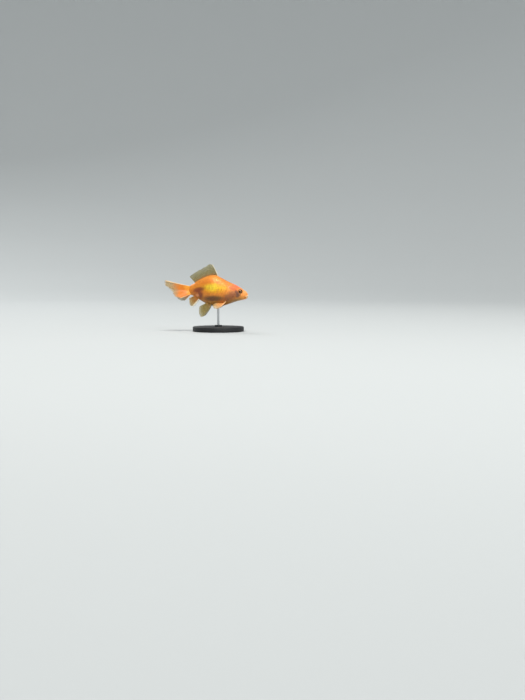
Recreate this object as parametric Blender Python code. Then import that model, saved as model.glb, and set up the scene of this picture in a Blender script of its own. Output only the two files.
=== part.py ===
"""A young fantail goldfish at life size, held still on a plain display stand.

The fish faces +X with its back up. It is set out along its own body axis by three measures:
"behind" is how far a point lies behind the snout, "out" how far to the fish's left, and "above"
how far over the axis. place() turns them into world metres, with the fish tipped nose down and
its tail swung a little to the left. The world's origin is the middle of the stand's underside.
"""

import math
from dataclasses import dataclass, replace

import bmesh
import bpy
import numpy as np
from mathutils import Vector

# Driving dimensions, in metres
BODY_LENGTH = 0.054  # snout to the root of the tail fin
GAP = 0.0003  # kept between neighbouring pieces
NOSE_DOWN = math.radians(6.0)
AXIS_HEIGHT = 0.0340  # of the body axis over the floor, at the balance point
BALANCE = 0.50 * BODY_LENGTH  # behind the snout, over the middle of the stand
TAIL_SWING = 0.0012  # sideways at the tail root
SWING_START = 0.55 * BODY_LENGTH

# Outline of the body: (behind, value), both as shares of BODY_LENGTH
BACK = (
    (0.00, 0.058), (0.035, 0.081), (0.085, 0.107), (0.143, 0.138), (0.376, 0.228), (0.600, 0.293),
    (0.741, 0.248), (0.861, 0.170), (0.944, 0.109), (1.00, 0.079),
)
BELLY = (
    (0.00, -0.030), (0.078, -0.058), (0.228, -0.116), (0.357, -0.178), (0.500, -0.215),
    (0.611, -0.206), (0.713, -0.173), (0.815, -0.125), (0.926, -0.078), (1.00, -0.067),
)
HALF_WIDTH = (
    (0.00, 0.036), (0.028, 0.048), (0.093, 0.073), (0.148, 0.092), (0.240, 0.121), (0.333, 0.145),
    (0.481, 0.167), (0.574, 0.164), (0.667, 0.140), (0.741, 0.108), (0.815, 0.078), (0.889, 0.056),
    (1.00, 0.042),
)
WIDEST_LEVEL = (
    (0.00, 0.006), (0.148, 0.006), (0.370, -0.015), (0.520, -0.030), (0.667, -0.015),
    (0.778, 0.015), (0.889, 0.022), (1.00, 0.004),
)
RIDGE = 0.14  # how much the back is pinched and the belly filled out, against an ellipse
LIP_SWELL = 0.07  # share of the section, swollen at the lips and drawn in behind them
LIP_BEHIND = 0.016 * BODY_LENGTH
LIP_WIDTH = 0.014 * BODY_LENGTH
SNOUT_ROUND = 0.046 * BODY_LENGTH
TAIL_ROUND = 0.035 * BODY_LENGTH

# Where the body is parted
HEAD_END = 0.367 * BODY_LENGTH
GILL_SWEEP = 0.092 * BODY_LENGTH  # how far the edge of the head curves forward, above and below
SWEEP_REACH = 0.17 * BODY_LENGTH
STALK_START = 0.885 * BODY_LENGTH

# Head
EYE_RADIUS = 0.0435 * BODY_LENGTH
EYE_BEHIND = 0.139 * BODY_LENGTH
EYE_ABOVE = 0.070 * BODY_LENGTH
EYE_SUNK = 0.0225 * BODY_LENGTH  # of the eye's centre, under the skin
EYE_DEPTH = 0.86  # the eyeball's depth against its width
MOUTH_HEIGHT = 0.012 * BODY_LENGTH
MOUTH_CORNER = (0.056 * BODY_LENGTH, -0.026 * BODY_LENGTH)
JAW_HINGE = (0.094 * BODY_LENGTH, -0.058 * BODY_LENGTH)
GILL_CENTRE = (0.302 * BODY_LENGTH, -0.018 * BODY_LENGTH)
GILL_RADII = (0.092 * BODY_LENGTH, 0.130 * BODY_LENGTH)
GILL_THICKNESS = 0.0013

# Fins
FIN_ROOT_THICKNESS = 0.0009
FIN_TIP_THICKNESS = 0.00055
FIN_BURIED = 0.020 * BODY_LENGTH  # how deep the rays start under the skin, before they are trimmed
TAIL_SPLIT = 0.025  # share of the tail's ray fan on each side of the fork that is left open
TAIL_FEET = {"left": (1.15, 1.10), "right": (1.00, 0.55)}  # slopes of the lowest ray: out, down

# Stand
BASE_RADIUS = 0.023
BASE_HEIGHT = 0.0044
BASE_BEVEL = 0.0007
BOSS_RADIUS = 0.0034
BOSS_HEIGHT = 0.0014
BOSS_BEVEL = 0.0004
ROD_RADIUS = 0.0010
ROD_FOOT = 0.0022
ROD_DEPTH = 0.0035  # of the rod's top inside the belly

# How finely each shape is divided
BODY_SIDES = 32
EYE_STEPS = (14, 8)
GILL_STEPS = 28
ROUND_STEPS = 20
BASE_STEPS = 48

# Linear colour, metallic, roughness
FINISHES = {
    "orange_skin": ((0.80, 0.22, 0.02), 0.0, 0.35),
    "golden_cheek": ((0.72, 0.26, 0.05), 0.0, 0.30),
    "clear_fin": ((0.78, 0.42, 0.16), 0.0, 0.45),
    "dark_eye": ((0.03, 0.02, 0.02), 0.0, 0.10),
    "black_base": ((0.03, 0.03, 0.03), 0.0, 0.45),
    "steel_rod": ((0.62, 0.62, 0.60), 1.0, 0.30),
}


def clear_scene():
    """Remove whatever the file opened with."""
    for thing in list(bpy.data.objects):
        bpy.data.objects.remove(thing, do_unlink=True)


def smooth_curve(stations):
    """Return the natural cubic spline through (place, value) stations."""
    at, value = np.array(stations, dtype=float).T
    step = np.diff(at)
    rise = np.diff(value) / step
    rows = np.eye(len(at))
    pull = np.zeros(len(at))
    for i in range(1, len(at) - 1):
        rows[i, i - 1 : i + 2] = step[i - 1], 2 * (step[i - 1] + step[i]), step[i]
        pull[i] = 6 * (rise[i] - rise[i - 1])
    bend = np.linalg.solve(rows, pull)

    def curve(where):
        i = int(np.clip(np.searchsorted(at, where) - 1, 0, len(step) - 1))
        before = at[i + 1] - where
        after = where - at[i]
        bent = (bend[i] * before**3 + bend[i + 1] * after**3) / (6 * step[i])
        start = (value[i] / step[i] - bend[i] * step[i] / 6) * before
        end = (value[i + 1] / step[i] - bend[i + 1] * step[i] / 6) * after
        return float(bent + start + end)

    return curve


def body_curve(stations):
    """Return a smooth_curve of body shares, in metres."""
    return smooth_curve([(at * BODY_LENGTH, value * BODY_LENGTH) for at, value in stations])


back_line = body_curve(BACK)
belly_line = body_curve(BELLY)
half_width = body_curve(HALF_WIDTH)
widest_level = body_curve(WIDEST_LEVEL)


def place(behind, out, above):
    """Turn fish measures into a world point."""
    swung = max(0.0, (behind - SWING_START) / (BODY_LENGTH - SWING_START))
    ahead = BALANCE - behind
    return Vector((
        ahead * math.cos(NOSE_DOWN) + above * math.sin(NOSE_DOWN),
        out + TAIL_SWING * swung**2,
        AXIS_HEIGHT - ahead * math.sin(NOSE_DOWN) + above * math.cos(NOSE_DOWN),
    ))


def section_size(behind):
    """Return the share of the full section left by the quarter-ellipse ends, lips included."""
    nose = np.clip(1 - behind / SNOUT_ROUND, 0, 1)
    tail = np.clip(1 - (BODY_LENGTH - behind) / TAIL_ROUND, 0, 1)
    past_lip = (behind - LIP_BEHIND) / LIP_WIDTH
    lips = 1 + LIP_SWELL * (1 - past_lip) * math.exp(-(past_lip**2))
    return math.sqrt(1 - nose**2) * math.sqrt(1 - tail**2) * lips


def skin_point(behind, turn):
    """Return a point of the skin; turn runs from the back (0) by the left side to the belly (pi)."""
    middle = widest_level(behind)
    upward = math.cos(turn)
    reach = back_line(behind) - middle if upward > 0 else middle - belly_line(behind)
    out = abs(math.sin(turn)) ** (1 + RIDGE * upward) * half_width(behind)
    size = section_size(behind)
    return behind, math.copysign(out, math.sin(turn)) * size, middle + reach * upward * size


def skin_out(behind, above):
    """Return how far out the skin is at a height over the axis."""
    middle = widest_level(behind)
    edge = back_line(behind) if above > middle else belly_line(behind)
    upward = (above - middle) / abs(edge - middle)
    return (1 - upward**2) ** (0.5 * (1 + RIDGE * upward)) * half_width(behind)


def new_object(name, form, finish):
    """Make an object in the scene from a bmesh, with its material, and shade it smooth."""
    bmesh.ops.recalc_face_normals(form, faces=form.faces)
    mesh = bpy.data.meshes.new(name)
    form.to_mesh(mesh)
    form.free()
    mesh.shade_smooth()
    mesh.set_sharp_from_angle(angle=math.radians(35))
    mesh.materials.append(material(finish))
    thing = bpy.data.objects.new(name, mesh)
    bpy.context.scene.collection.objects.link(thing)
    return thing


def material(finish):
    """Return the named material, made on its first use."""
    if finish in bpy.data.materials:
        return bpy.data.materials[finish]
    colour, metallic, roughness = FINISHES[finish]
    made = bpy.data.materials.new(finish)
    made.use_nodes = True
    shader = made.node_tree.nodes["Principled BSDF"]
    shader.inputs["Base Color"].default_value = (*colour, 1.0)
    shader.inputs["Metallic"].default_value = metallic
    shader.inputs["Roughness"].default_value = roughness
    return made


def as_cutter(thing):
    """Mark an object as a guide that cuts others and is not part of the model."""
    thing.hide_render = True
    thing.display_type = "WIRE"
    return thing


def cut(thing, cutter, operation="DIFFERENCE"):
    """Add an exact Boolean of thing with cutter."""
    boolean = thing.modifiers.new(f"{operation} {cutter.name}", "BOOLEAN")
    boolean.operation = operation
    boolean.solver = "EXACT"
    boolean.object = cutter


def loft(rings, front, rear):
    """Return a closed bmesh through rings of points, fanned to a point at each end."""
    form = bmesh.new()
    rows = [[form.verts.new(point) for point in ring] for ring in rings]
    count = len(rows[0])
    for near, far in zip(rows, rows[1:]):
        for i in range(count):
            j = (i + 1) % count
            form.faces.new((near[i], near[j], far[j], far[i]))
    for row, tip in ((rows[0], front), (rows[-1], rear)):
        centre = form.verts.new(tip)
        for i in range(count):
            form.faces.new((row[i], row[(i + 1) % count], centre))
    return form


def body_form(stations, swept):
    """Return the closed piece of body between the first and the last station.

    swept gives, for each station, how much of the gill edge's forward sweep it follows.
    """
    rings = []
    for behind, share in zip(stations, swept):
        ring = []
        for i in range(BODY_SIDES):
            turn = 2 * math.pi * i / BODY_SIDES
            moved = behind - share * GILL_SWEEP * math.cos(turn) ** 2
            ring.append(place(*skin_point(moved, turn)))
        rings.append(ring)
    front = place(stations[0], 0, widest_level(stations[0]))
    rear = place(stations[-1], 0, widest_level(stations[-1]))
    if stations[0] < SNOUT_ROUND:
        front = place(0, 0, widest_level(0))
    if stations[-1] > BODY_LENGTH - TAIL_ROUND:
        rear = place(BODY_LENGTH, 0, widest_level(BODY_LENGTH))
    return loft(rings, front, rear)


def rounded_start(length, count):
    """Return stations that crowd towards the snout, as round ends need."""
    return [length * (1 - math.cos(math.pi / 2 * i / count)) for i in range(1, count + 1)]


def head_stations():
    """Return the head's stations, and how much of the gill edge's sweep each follows."""
    snout = rounded_start(SNOUT_ROUND, 7)
    rest = list(np.linspace(SNOUT_ROUND, HEAD_END, 13))[1:]
    stations = snout + rest
    swept = [max(0.0, 1 - (HEAD_END - behind) / SWEEP_REACH) for behind in stations]
    return stations, swept


def trunk_stations():
    """Return the trunk's stations, and how much of the gill edge's sweep each follows."""
    start = HEAD_END + GAP
    stations = list(np.linspace(start, STALK_START, 19))
    swept = [max(0.0, 1 - (behind - start) / SWEEP_REACH) for behind in stations]
    return stations, swept


def stalk_stations():
    """Return the tail stalk's stations; none of them follows the gill edge."""
    straight = list(np.linspace(STALK_START + GAP, BODY_LENGTH - TAIL_ROUND, 4))
    rounded = [BODY_LENGTH - behind for behind in reversed(rounded_start(TAIL_ROUND, 4))]
    stations = straight[:-1] + rounded
    return stations, [0.0] * len(stations)


def whole_body(name, grown):
    """Make a guide of the whole body, grown outwards by a distance (inwards if it is negative)."""
    head = head_stations()[0]
    stations = head + trunk_stations()[0][1:] + stalk_stations()[0]
    form = body_form(stations, [0.0] * len(stations))
    bmesh.ops.recalc_face_normals(form, faces=form.faces)
    form.normal_update()
    for vertex in form.verts:
        vertex.co += vertex.normal * grown
    return as_cutter(new_object(name, form, "orange_skin"))


def prism(name, outline, out_from, out_to):
    """Make a guide from an outline of (behind, above) points, drawn out sideways."""
    form = bmesh.new()
    near = [form.verts.new(place(behind, out_from, above)) for behind, above in outline]
    far = [form.verts.new(place(behind, out_to, above)) for behind, above in outline]
    form.faces.new(near)
    form.faces.new(far)
    for i in range(len(outline)):
        j = (i + 1) % len(outline)
        form.faces.new((near[i], near[j], far[j], far[i]))
    return as_cutter(new_object(name, form, "orange_skin"))


def ellipsoid(name, centre, radii, finish):
    """Make an ellipsoid whose poles point sideways."""
    form = bmesh.new()
    around, along = EYE_STEPS
    bmesh.ops.create_uvsphere(form, u_segments=around, v_segments=along, radius=1.0)
    for vertex in form.verts:
        x, y, z = vertex.co
        vertex.co = centre + Vector((x * radii[0], z * radii[1], -y * radii[2]))
    return new_object(name, form, finish)


def jaw_outline(grown):
    """Return the outline that parts the lower jaw: along the mouth, then down behind the hinge."""
    ahead = -SNOUT_ROUND
    under = -3 * SNOUT_ROUND
    return (
        (ahead, MOUTH_HEIGHT + grown),
        (MOUTH_CORNER[0] + grown, MOUTH_CORNER[1] + grown),
        (JAW_HINGE[0] + grown, JAW_HINGE[1]),
        (JAW_HINGE[0] + grown, under),
        (ahead, under),
    )


def gill_outline(grown):
    """Return the ellipse that marks out a gill cover."""
    turns = [2 * math.pi * i / GILL_STEPS for i in range(GILL_STEPS)]
    wide, high = GILL_RADII[0] + grown, GILL_RADII[1] + grown
    return [
        (GILL_CENTRE[0] + wide * math.cos(turn), GILL_CENTRE[1] + high * math.sin(turn))
        for turn in turns
    ]


def eye_centre(side):
    """Return the centre of the left (1) or right (-1) eye."""
    out = skin_out(EYE_BEHIND, EYE_ABOVE) - EYE_SUNK
    return place(EYE_BEHIND, side * out, EYE_ABOVE)


def build_eyes(head):
    """Make both eyes, and their sockets in the head."""
    for side, word in ((1, "left"), (-1, "right")):
        radii = (EYE_RADIUS, EYE_RADIUS * EYE_DEPTH, EYE_RADIUS)
        ellipsoid(f"eye_{word}", eye_centre(side), radii, "dark_eye")
        roomy = [radius + GAP for radius in radii]
        socket = ellipsoid(f"eye_socket_{word}", eye_centre(side), roomy, "dark_eye")
        cut(head, as_cutter(socket))


def build_gill_covers(head):
    """Make both gill covers as shells of the head's own side, and their seats in the head."""
    inside = whole_body("inside_gill_cover", -GILL_THICKNESS)
    deeper = whole_body("inside_gill_seat", -GILL_THICKNESS - GAP)
    beyond = 2 * HEAD_END
    for side, word in ((1, "left"), (-1, "right")):
        mark = prism(f"gill_mark_{word}", gill_outline(0), side * GAP, side * beyond)
        seat = prism(f"gill_seat_{word}", gill_outline(GAP), side * GAP, side * beyond)
        cut(seat, deeper)
        cover = new_object(f"gill_cover_{word}", body_form(*head_stations()), "golden_cheek")
        cut(cover, mark, "INTERSECT")
        cut(cover, inside)
        cut(head, seat)


def build_head():
    """Make the head, lower jaw, eyes and gill covers."""
    head = new_object("head", body_form(*head_stations()), "orange_skin")
    jaw = new_object("lower_jaw", body_form(*head_stations()), "orange_skin")
    beside = HEAD_END
    cut(jaw, prism("jaw_mark", jaw_outline(0), -beside, beside), "INTERSECT")
    cut(head, prism("jaw_seat", jaw_outline(GAP), -beside, beside))
    build_eyes(head)
    build_gill_covers(head)


def belly_height():
    """Return the world height of the belly over the rod."""
    return place(BALANCE, 0, belly_line(BALANCE)).z


def build_trunk():
    """Make the trunk, with a bore for the stand's rod, and the tail stalk."""
    trunk = new_object("trunk", body_form(*trunk_stations()), "orange_skin")
    top = belly_height() + ROD_DEPTH + GAP
    bore = turned("rod_bore", ((ROD_RADIUS + GAP, 0.0), (ROD_RADIUS + GAP, top)), "steel_rod")
    cut(trunk, as_cutter(bore))
    new_object("tail_stalk", body_form(*stalk_stations()), "orange_skin")


def turned(name, profile, finish, steps=ROUND_STEPS):
    """Make a closed turned shape about the world's upright axis from (radius, height) points."""
    form = bmesh.new()
    rows = []
    for radius, height in profile:
        turns = [2 * math.pi * i / steps for i in range(steps)]
        rows.append([form.verts.new((radius * math.cos(t), radius * math.sin(t), height)) for t in turns])
    for low, high in zip(rows, rows[1:]):
        for i in range(steps):
            j = (i + 1) % steps
            form.faces.new((low[i], low[j], high[j], high[i]))
    form.faces.new(rows[0])
    form.faces.new(rows[-1])
    return new_object(name, form, finish)


@dataclass(frozen=True)
class Fin:
    """A sheet of rays. Each tuple runs from the first ray to the last at even spaces."""

    name: str
    roots: tuple  # where the rays start: behind, out, above
    ways: tuple  # which way they run: back, out, up
    lengths: tuple  # how long they are: (share of the fan, length)
    curl: tuple  # how far the first and last tips leave the straight: back, out, up
    rays: int
    steps: int
    first: float = 0.0  # the share of the fan at which the sheet starts
    last: float = 1.0  # the share of the fan at which it ends


def through(points):
    """Return a function that runs smoothly through evenly spaced points as it goes from 0 to 1."""
    shares = np.linspace(0, 1, len(points))
    curves = [smooth_curve(list(zip(shares, values))) for values in zip(*points)]
    return lambda share: np.array([curve(share) for curve in curves])


def fin_surface(fin):
    """Return a function from (share across the fan, share along a ray) to a world point."""
    root, way, curl = through(fin.roots), through(fin.ways), through(fin.curl)
    length = smooth_curve(fin.lengths)

    def point(across, along):
        share = fin.first + (fin.last - fin.first) * across
        heading = way(share) / np.linalg.norm(way(share))
        return place(*(root(share) + heading * length(share) * along + curl(share) * along**2))

    return point


def fin_normal(point, across, along):
    """Return the unit normal of a fin's surface, from small steps either way."""
    step = 0.01
    over = point(across + step, along) - point(across - step, along)
    out = point(across, along + step) - point(across, along - step)
    return over.cross(out).normalized()


def build_fin(fin, body):
    """Make a fin as a closed sheet that thins towards the tips, trimmed clear of the body."""
    point = fin_surface(fin)
    form = bmesh.new()
    sheets = []
    for side in (-0.5, 0.5):
        rows = []
        for i in range(fin.rays + 1):
            across = i / fin.rays
            row = []
            for j in range(fin.steps + 1):
                along = j / fin.steps
                thick = FIN_ROOT_THICKNESS + (FIN_TIP_THICKNESS - FIN_ROOT_THICKNESS) * along
                offset = fin_normal(point, across, along) * thick * side
                row.append(form.verts.new(point(across, along) + offset))
            rows.append(row)
        sheets.append(rows)
    for rows in sheets:
        for i in range(fin.rays):
            for j in range(fin.steps):
                form.faces.new((rows[i][j], rows[i + 1][j], rows[i + 1][j + 1], rows[i][j + 1]))
    for low, high in zip(sheet_rim(sheets[0]), sheet_rim(sheets[1])):
        form.faces.new((low[0], low[1], high[1], high[0]))
    cut(new_object(fin.name, form, "clear_fin"), body)


def sheet_rim(rows):
    """Return the pairs of vertices round the edge of a grid, in order."""
    edge = rows[0][:-1]
    edge += [row[-1] for row in rows[:-1]]
    edge += rows[-1][:0:-1]
    edge += [row[0] for row in rows[:0:-1]]
    return list(zip(edge, edge[1:] + edge[:1]))


def mirrored(fin, name):
    """Return the same fin on the fish's other side."""
    def flip(points):
        return tuple((a, -b, c) for a, b, c in points)

    return replace(fin, name=name, roots=flip(fin.roots), ways=flip(fin.ways), curl=flip(fin.curl))


def dorsal_fin():
    """Return the fin on the back: a steep first ray, and rays that lean back more and more."""
    roots = [
        (behind, 0.0, back_line(behind) - FIN_BURIED)
        for behind in np.linspace(0.518, 0.895, 5) * BODY_LENGTH
    ]
    leans = [math.radians(lean) for lean in (23, 31, 38, 43, 43)]
    return Fin(
        name="dorsal_fin",
        roots=tuple(roots),
        ways=tuple((math.sin(lean), 0.0, math.cos(lean)) for lean in leans),
        lengths=((0.0, 0.0124), (0.08, 0.0124), (0.22, 0.0107), (0.45, 0.0088), (0.75, 0.0083),
                 (1.0, 0.0076)),
        curl=((0.0018, 0.0, 0.0), (0.0012, 0.0012, 0.0)),
        rays=14,
        steps=6,
    )


def pectoral_fin():
    """Return the left fin behind the gills: swept down and back, its blade spread outwards."""
    roots = [
        (behind * BODY_LENGTH, skin_out(behind * BODY_LENGTH, above * BODY_LENGTH) - FIN_BURIED,
         above * BODY_LENGTH)
        for behind, above in ((0.344, -0.097), (0.356, -0.120), (0.372, -0.141))
    ]
    return Fin(
        name="pectoral_fin_left",
        roots=tuple(roots),
        ways=((0.24, 0.70, -0.70), (0.66, 0.62, -0.38), (0.90, 0.42, -0.12)),
        lengths=((0.0, 0.0106), (0.2, 0.0130), (0.55, 0.0124), (1.0, 0.0078)),
        curl=((0.0030, -0.0006, 0.0), (0.0005, 0.0006, 0.0002)),
        rays=8,
        steps=7,
    )


def pelvic_fin():
    """Return the left belly fin: hung down and back from beside the keel."""
    roots = []
    for behind, turn in ((0.585, 2.66), (0.618, 2.62), (0.652, 2.58)):
        at, out, above = skin_point(behind * BODY_LENGTH, turn)
        roots.append((at, out, above + FIN_BURIED))
    return Fin(
        name="pelvic_fin_left",
        roots=tuple(roots),
        ways=((0.20, 0.30, -0.92), (0.42, 0.26, -0.86), (0.74, 0.16, -0.64)),
        lengths=((0.0, 0.0128), (0.22, 0.0148), (0.6, 0.0128), (1.0, 0.0080)),
        curl=((0.0030, 0.0004, 0.0), (0.0008, 0.0, 0.0003)),
        rays=8,
        steps=7,
    )


def anal_fin():
    """Return the left fin under the tail stalk, one of a pair as in double-tailed breeds."""
    roots = [
        (behind, 0.0013, belly_line(behind) + FIN_BURIED)
        for behind in np.linspace(0.795, 0.885, 3) * BODY_LENGTH
    ]
    return Fin(
        name="anal_fin_left",
        roots=tuple(roots),
        ways=((0.46, 0.16, -0.88), (0.62, 0.17, -0.76), (0.80, 0.14, -0.56)),
        lengths=((0.0, 0.0086), (0.2, 0.0096), (0.6, 0.0080), (1.0, 0.0055)),
        curl=((0.0012, 0.0003, 0.0), (0.0006, 0.0, 0.0)),
        rays=7,
        steps=6,
    )


def tail_half(side, spread, drop):
    """Return one whole half of the double tail as if on the left, from its top edge to its foot."""
    root = 0.955 * BODY_LENGTH
    return Fin(
        name=f"tail_fin_{side}",
        roots=((root, 0.0008, 0.0040), (root, 0.0010, 0.0021), (root, 0.0012, 0.0002),
               (root, 0.0014, -0.0016), (root, 0.0016, -0.0032)),
        ways=((1.0, 0.05, 0.07), (1.0, 0.10, -0.05), (1.0, 0.22, -0.17),
              (1.0, 0.6 * spread, -0.6 * drop), (1.0, spread, -drop)),
        lengths=((0.0, 0.0247), (0.04, 0.0252), (0.25, 0.0228), (0.46, 0.0178), (0.54, 0.0171),
                 (0.7, 0.0166), (0.86, 0.0150), (1.0, 0.0112)),
        curl=((0.0, 0.0, 0.0010), (0.0, 0.0002, 0.0005), (0.0, 0.0004, 0.0),
              (0.0, 0.0006, 0.0), (0.0, 0.0010, 0.0)),
        rays=8,
        steps=8,
    )


def build_tail(body):
    """Make the four lobes of the tail fin."""
    for side, (spread, drop) in TAIL_FEET.items():
        half = tail_half(side, spread, drop)
        if side == "right":
            half = mirrored(half, half.name)
        upper = replace(half, name=f"tail_fin_upper_{side}", last=0.5 - TAIL_SPLIT)
        lower = replace(half, name=f"tail_fin_lower_{side}", first=0.5 + TAIL_SPLIT)
        build_fin(upper, body)
        build_fin(lower, body)


def build_fins():
    """Make every fin, each kept clear of the body."""
    body = whole_body("room_round_body", GAP)
    build_fin(dorsal_fin(), body)
    for make in (pectoral_fin, pelvic_fin, anal_fin):
        left = make()
        build_fin(left, body)
        build_fin(mirrored(left, left.name.replace("left", "right")), body)
    build_tail(body)


def build_stand():
    """Make the round base with its boss, and the rod that holds the fish."""
    top = BASE_HEIGHT + BOSS_HEIGHT
    base = turned(
        "stand_base",
        (
            (BASE_RADIUS - BASE_BEVEL / 2, 0.0),
            (BASE_RADIUS, BASE_BEVEL / 2),
            (BASE_RADIUS, BASE_HEIGHT - BASE_BEVEL),
            (BASE_RADIUS - BASE_BEVEL, BASE_HEIGHT),
            (BOSS_RADIUS + BOSS_BEVEL, BASE_HEIGHT),
            (BOSS_RADIUS, BASE_HEIGHT + BOSS_BEVEL),
            (BOSS_RADIUS, top - BOSS_BEVEL),
            (BOSS_RADIUS - BOSS_BEVEL, top),
        ),
        "black_base",
        BASE_STEPS,
    )
    bore = ((ROD_RADIUS + GAP, ROD_FOOT - GAP), (ROD_RADIUS + GAP, AXIS_HEIGHT))
    cut(base, as_cutter(turned("base_bore", bore, "steel_rod")))
    rod = ((ROD_RADIUS, ROD_FOOT), (ROD_RADIUS, belly_height() + ROD_DEPTH))
    turned("stand_rod", rod, "steel_rod")


def main():
    """Build the model."""
    clear_scene()
    build_head()
    build_trunk()
    build_fins()
    build_stand()


main()
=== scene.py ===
"""Looks of a young fantail goldfish, a life-size model on a plain display stand.

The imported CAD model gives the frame, in metres, with the fish facing +X. Its shape is set out
along the body axis by three fish measures, as in the CAD: "behind" the snout, "out" to the fish's
left, and "above" the axis. BodyForm.place() turns them into world points. "Turn" is an angle round
the body from its back, over 0 on the left. One skin covers the body, scales lie over it, and each
fin is a clear membrane with its rays.
"""

import logging
import math
from dataclasses import dataclass
from enum import Enum
from typing import Sequence

import bmesh
import bpy
import numpy as np
from bpy.types import ID, Material, Node, NodeSocket, NodeTree, Object
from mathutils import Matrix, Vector

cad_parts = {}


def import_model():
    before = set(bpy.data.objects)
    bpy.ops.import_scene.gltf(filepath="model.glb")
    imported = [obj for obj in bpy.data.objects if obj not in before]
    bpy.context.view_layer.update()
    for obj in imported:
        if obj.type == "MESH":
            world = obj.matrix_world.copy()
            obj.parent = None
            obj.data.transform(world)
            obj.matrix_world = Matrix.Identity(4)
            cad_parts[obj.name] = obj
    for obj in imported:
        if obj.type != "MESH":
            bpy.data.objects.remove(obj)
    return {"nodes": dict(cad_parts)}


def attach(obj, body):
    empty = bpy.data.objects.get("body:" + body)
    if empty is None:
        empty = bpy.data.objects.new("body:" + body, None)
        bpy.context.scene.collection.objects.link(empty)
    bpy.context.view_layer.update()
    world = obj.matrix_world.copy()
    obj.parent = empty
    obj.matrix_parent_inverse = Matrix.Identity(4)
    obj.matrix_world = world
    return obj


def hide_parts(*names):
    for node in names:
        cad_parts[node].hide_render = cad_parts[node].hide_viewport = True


frame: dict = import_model()

LOG = logging.getLogger("goldfish")
MM = 0.001
TURN = 2 * math.pi
ROOT_BODY = "root"
BAKE_MAP = "OFBake"

Array = np.ndarray
Pair = tuple[float, float]
Triple = tuple[float, float, float]
Stations = Sequence[Pair]
Triples = Sequence[Triple]
Faces = list[tuple[int, ...]]


class Side(Enum):
    """A side of the fish, with its sign along the "out" measure."""

    LEFT = 1
    RIGHT = -1

    @property
    def word(self) -> str:
        """The side's name, as the nodes of the frame spell it."""
        return self.name.lower()


class Slot(Enum):
    """The record's material slots."""

    SKIN = "skin"
    EYE = "eye"
    FIN = "fin"
    BASE = "stand_black"
    ROD = "stand_steel"


# ---- Small mathematics ----


def tint(code: str) -> tuple[float, float, float, float]:
    """Turn a web colour into a linear one.

    Args:
        code: six hexadecimal digits.

    Returns:
        Linear red, green and blue, and a full alpha.
    """
    shares = [int(code[i : i + 2], 16) / 255 for i in (0, 2, 4)]
    linear = [s / 12.92 if s <= 0.04045 else ((s + 0.055) / 1.055) ** 2.4 for s in shares]
    return (linear[0], linear[1], linear[2], 1.0)


def smooth_step(value: Array, start: float, end: float) -> Array:
    """Return 0 before start, 1 past end, and a smooth rise between them."""
    share = np.clip((value - start) / (end - start), 0.0, 1.0)
    return share * share * (3.0 - 2.0 * share)


def bump(value: Array, width: float) -> Array:
    """Return a bell of height 1 at value 0."""
    return np.exp(-((value / width) ** 2))


def swell(value: Array, place: float, width: float) -> Array:
    """Return a smooth bump, 1 at a place."""
    return bump(value - place, width)


def unit(vectors: Array) -> Array:
    """Return the vectors of the last axis at length 1."""
    return vectors / np.maximum(np.linalg.norm(vectors, axis=-1, keepdims=True), 1e-12)


def circle(count: int) -> Array:
    """Return evenly spaced angles once round."""
    return TURN * np.arange(count) / count


def lengths_along(points: Array) -> Array:
    """Return the length of each step of a line of points."""
    return np.linalg.norm(np.diff(points, axis=0), axis=1)


class Curve:
    """A natural cubic spline through stations."""

    def __init__(self, stations: Stations, scale: float = 1.0) -> None:
        """Solve the spline.

        Args:
            stations: (place, value) pairs in order.
            scale: what both are multiplied by.
        """
        self.at, self.value = np.array(stations, dtype=float).T * scale
        self.step = np.diff(self.at)
        rise = np.diff(self.value) / self.step
        count = len(self.at)
        rows = np.eye(count)
        pull = np.zeros(count)
        for i in range(1, count - 1):
            rows[i, i - 1 : i + 2] = (
                self.step[i - 1], 2 * (self.step[i - 1] + self.step[i]), self.step[i],
            )
            pull[i] = 6 * (rise[i] - rise[i - 1])
        self.bend = np.linalg.solve(rows, pull)

    def __call__(self, where: Array | float) -> Array:
        """Return the spline's value at each place.

        Args:
            where: the places.

        Returns:
            The values, in the shape of the places.
        """
        spot = np.asarray(where, dtype=float)
        i = np.clip(np.searchsorted(self.at, spot) - 1, 0, len(self.step) - 1)
        before, after, step = self.at[i + 1] - spot, spot - self.at[i], self.step[i]
        bent = (self.bend[i] * before**3 + self.bend[i + 1] * after**3) / (6 * step)
        start = (self.value[i] / step - self.bend[i] * step / 6) * before
        end = (self.value[i + 1] / step - self.bend[i + 1] * step / 6) * after
        return bent + start + end


class Path:
    """A smooth path through evenly spaced points, as its share goes from 0 to 1."""

    def __init__(self, points: Triples) -> None:
        """Solve one spline for each measure."""
        shares = np.linspace(0, 1, len(points))
        self.curves = [Curve(list(zip(shares, values))) for values in zip(*points)]

    def __call__(self, share: Array) -> Array:
        """Return the path's points, with the measures on a new last axis."""
        return np.stack([curve(share) for curve in self.curves], axis=-1)


# ---- The body's form, the same as the CAD's ----


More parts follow.
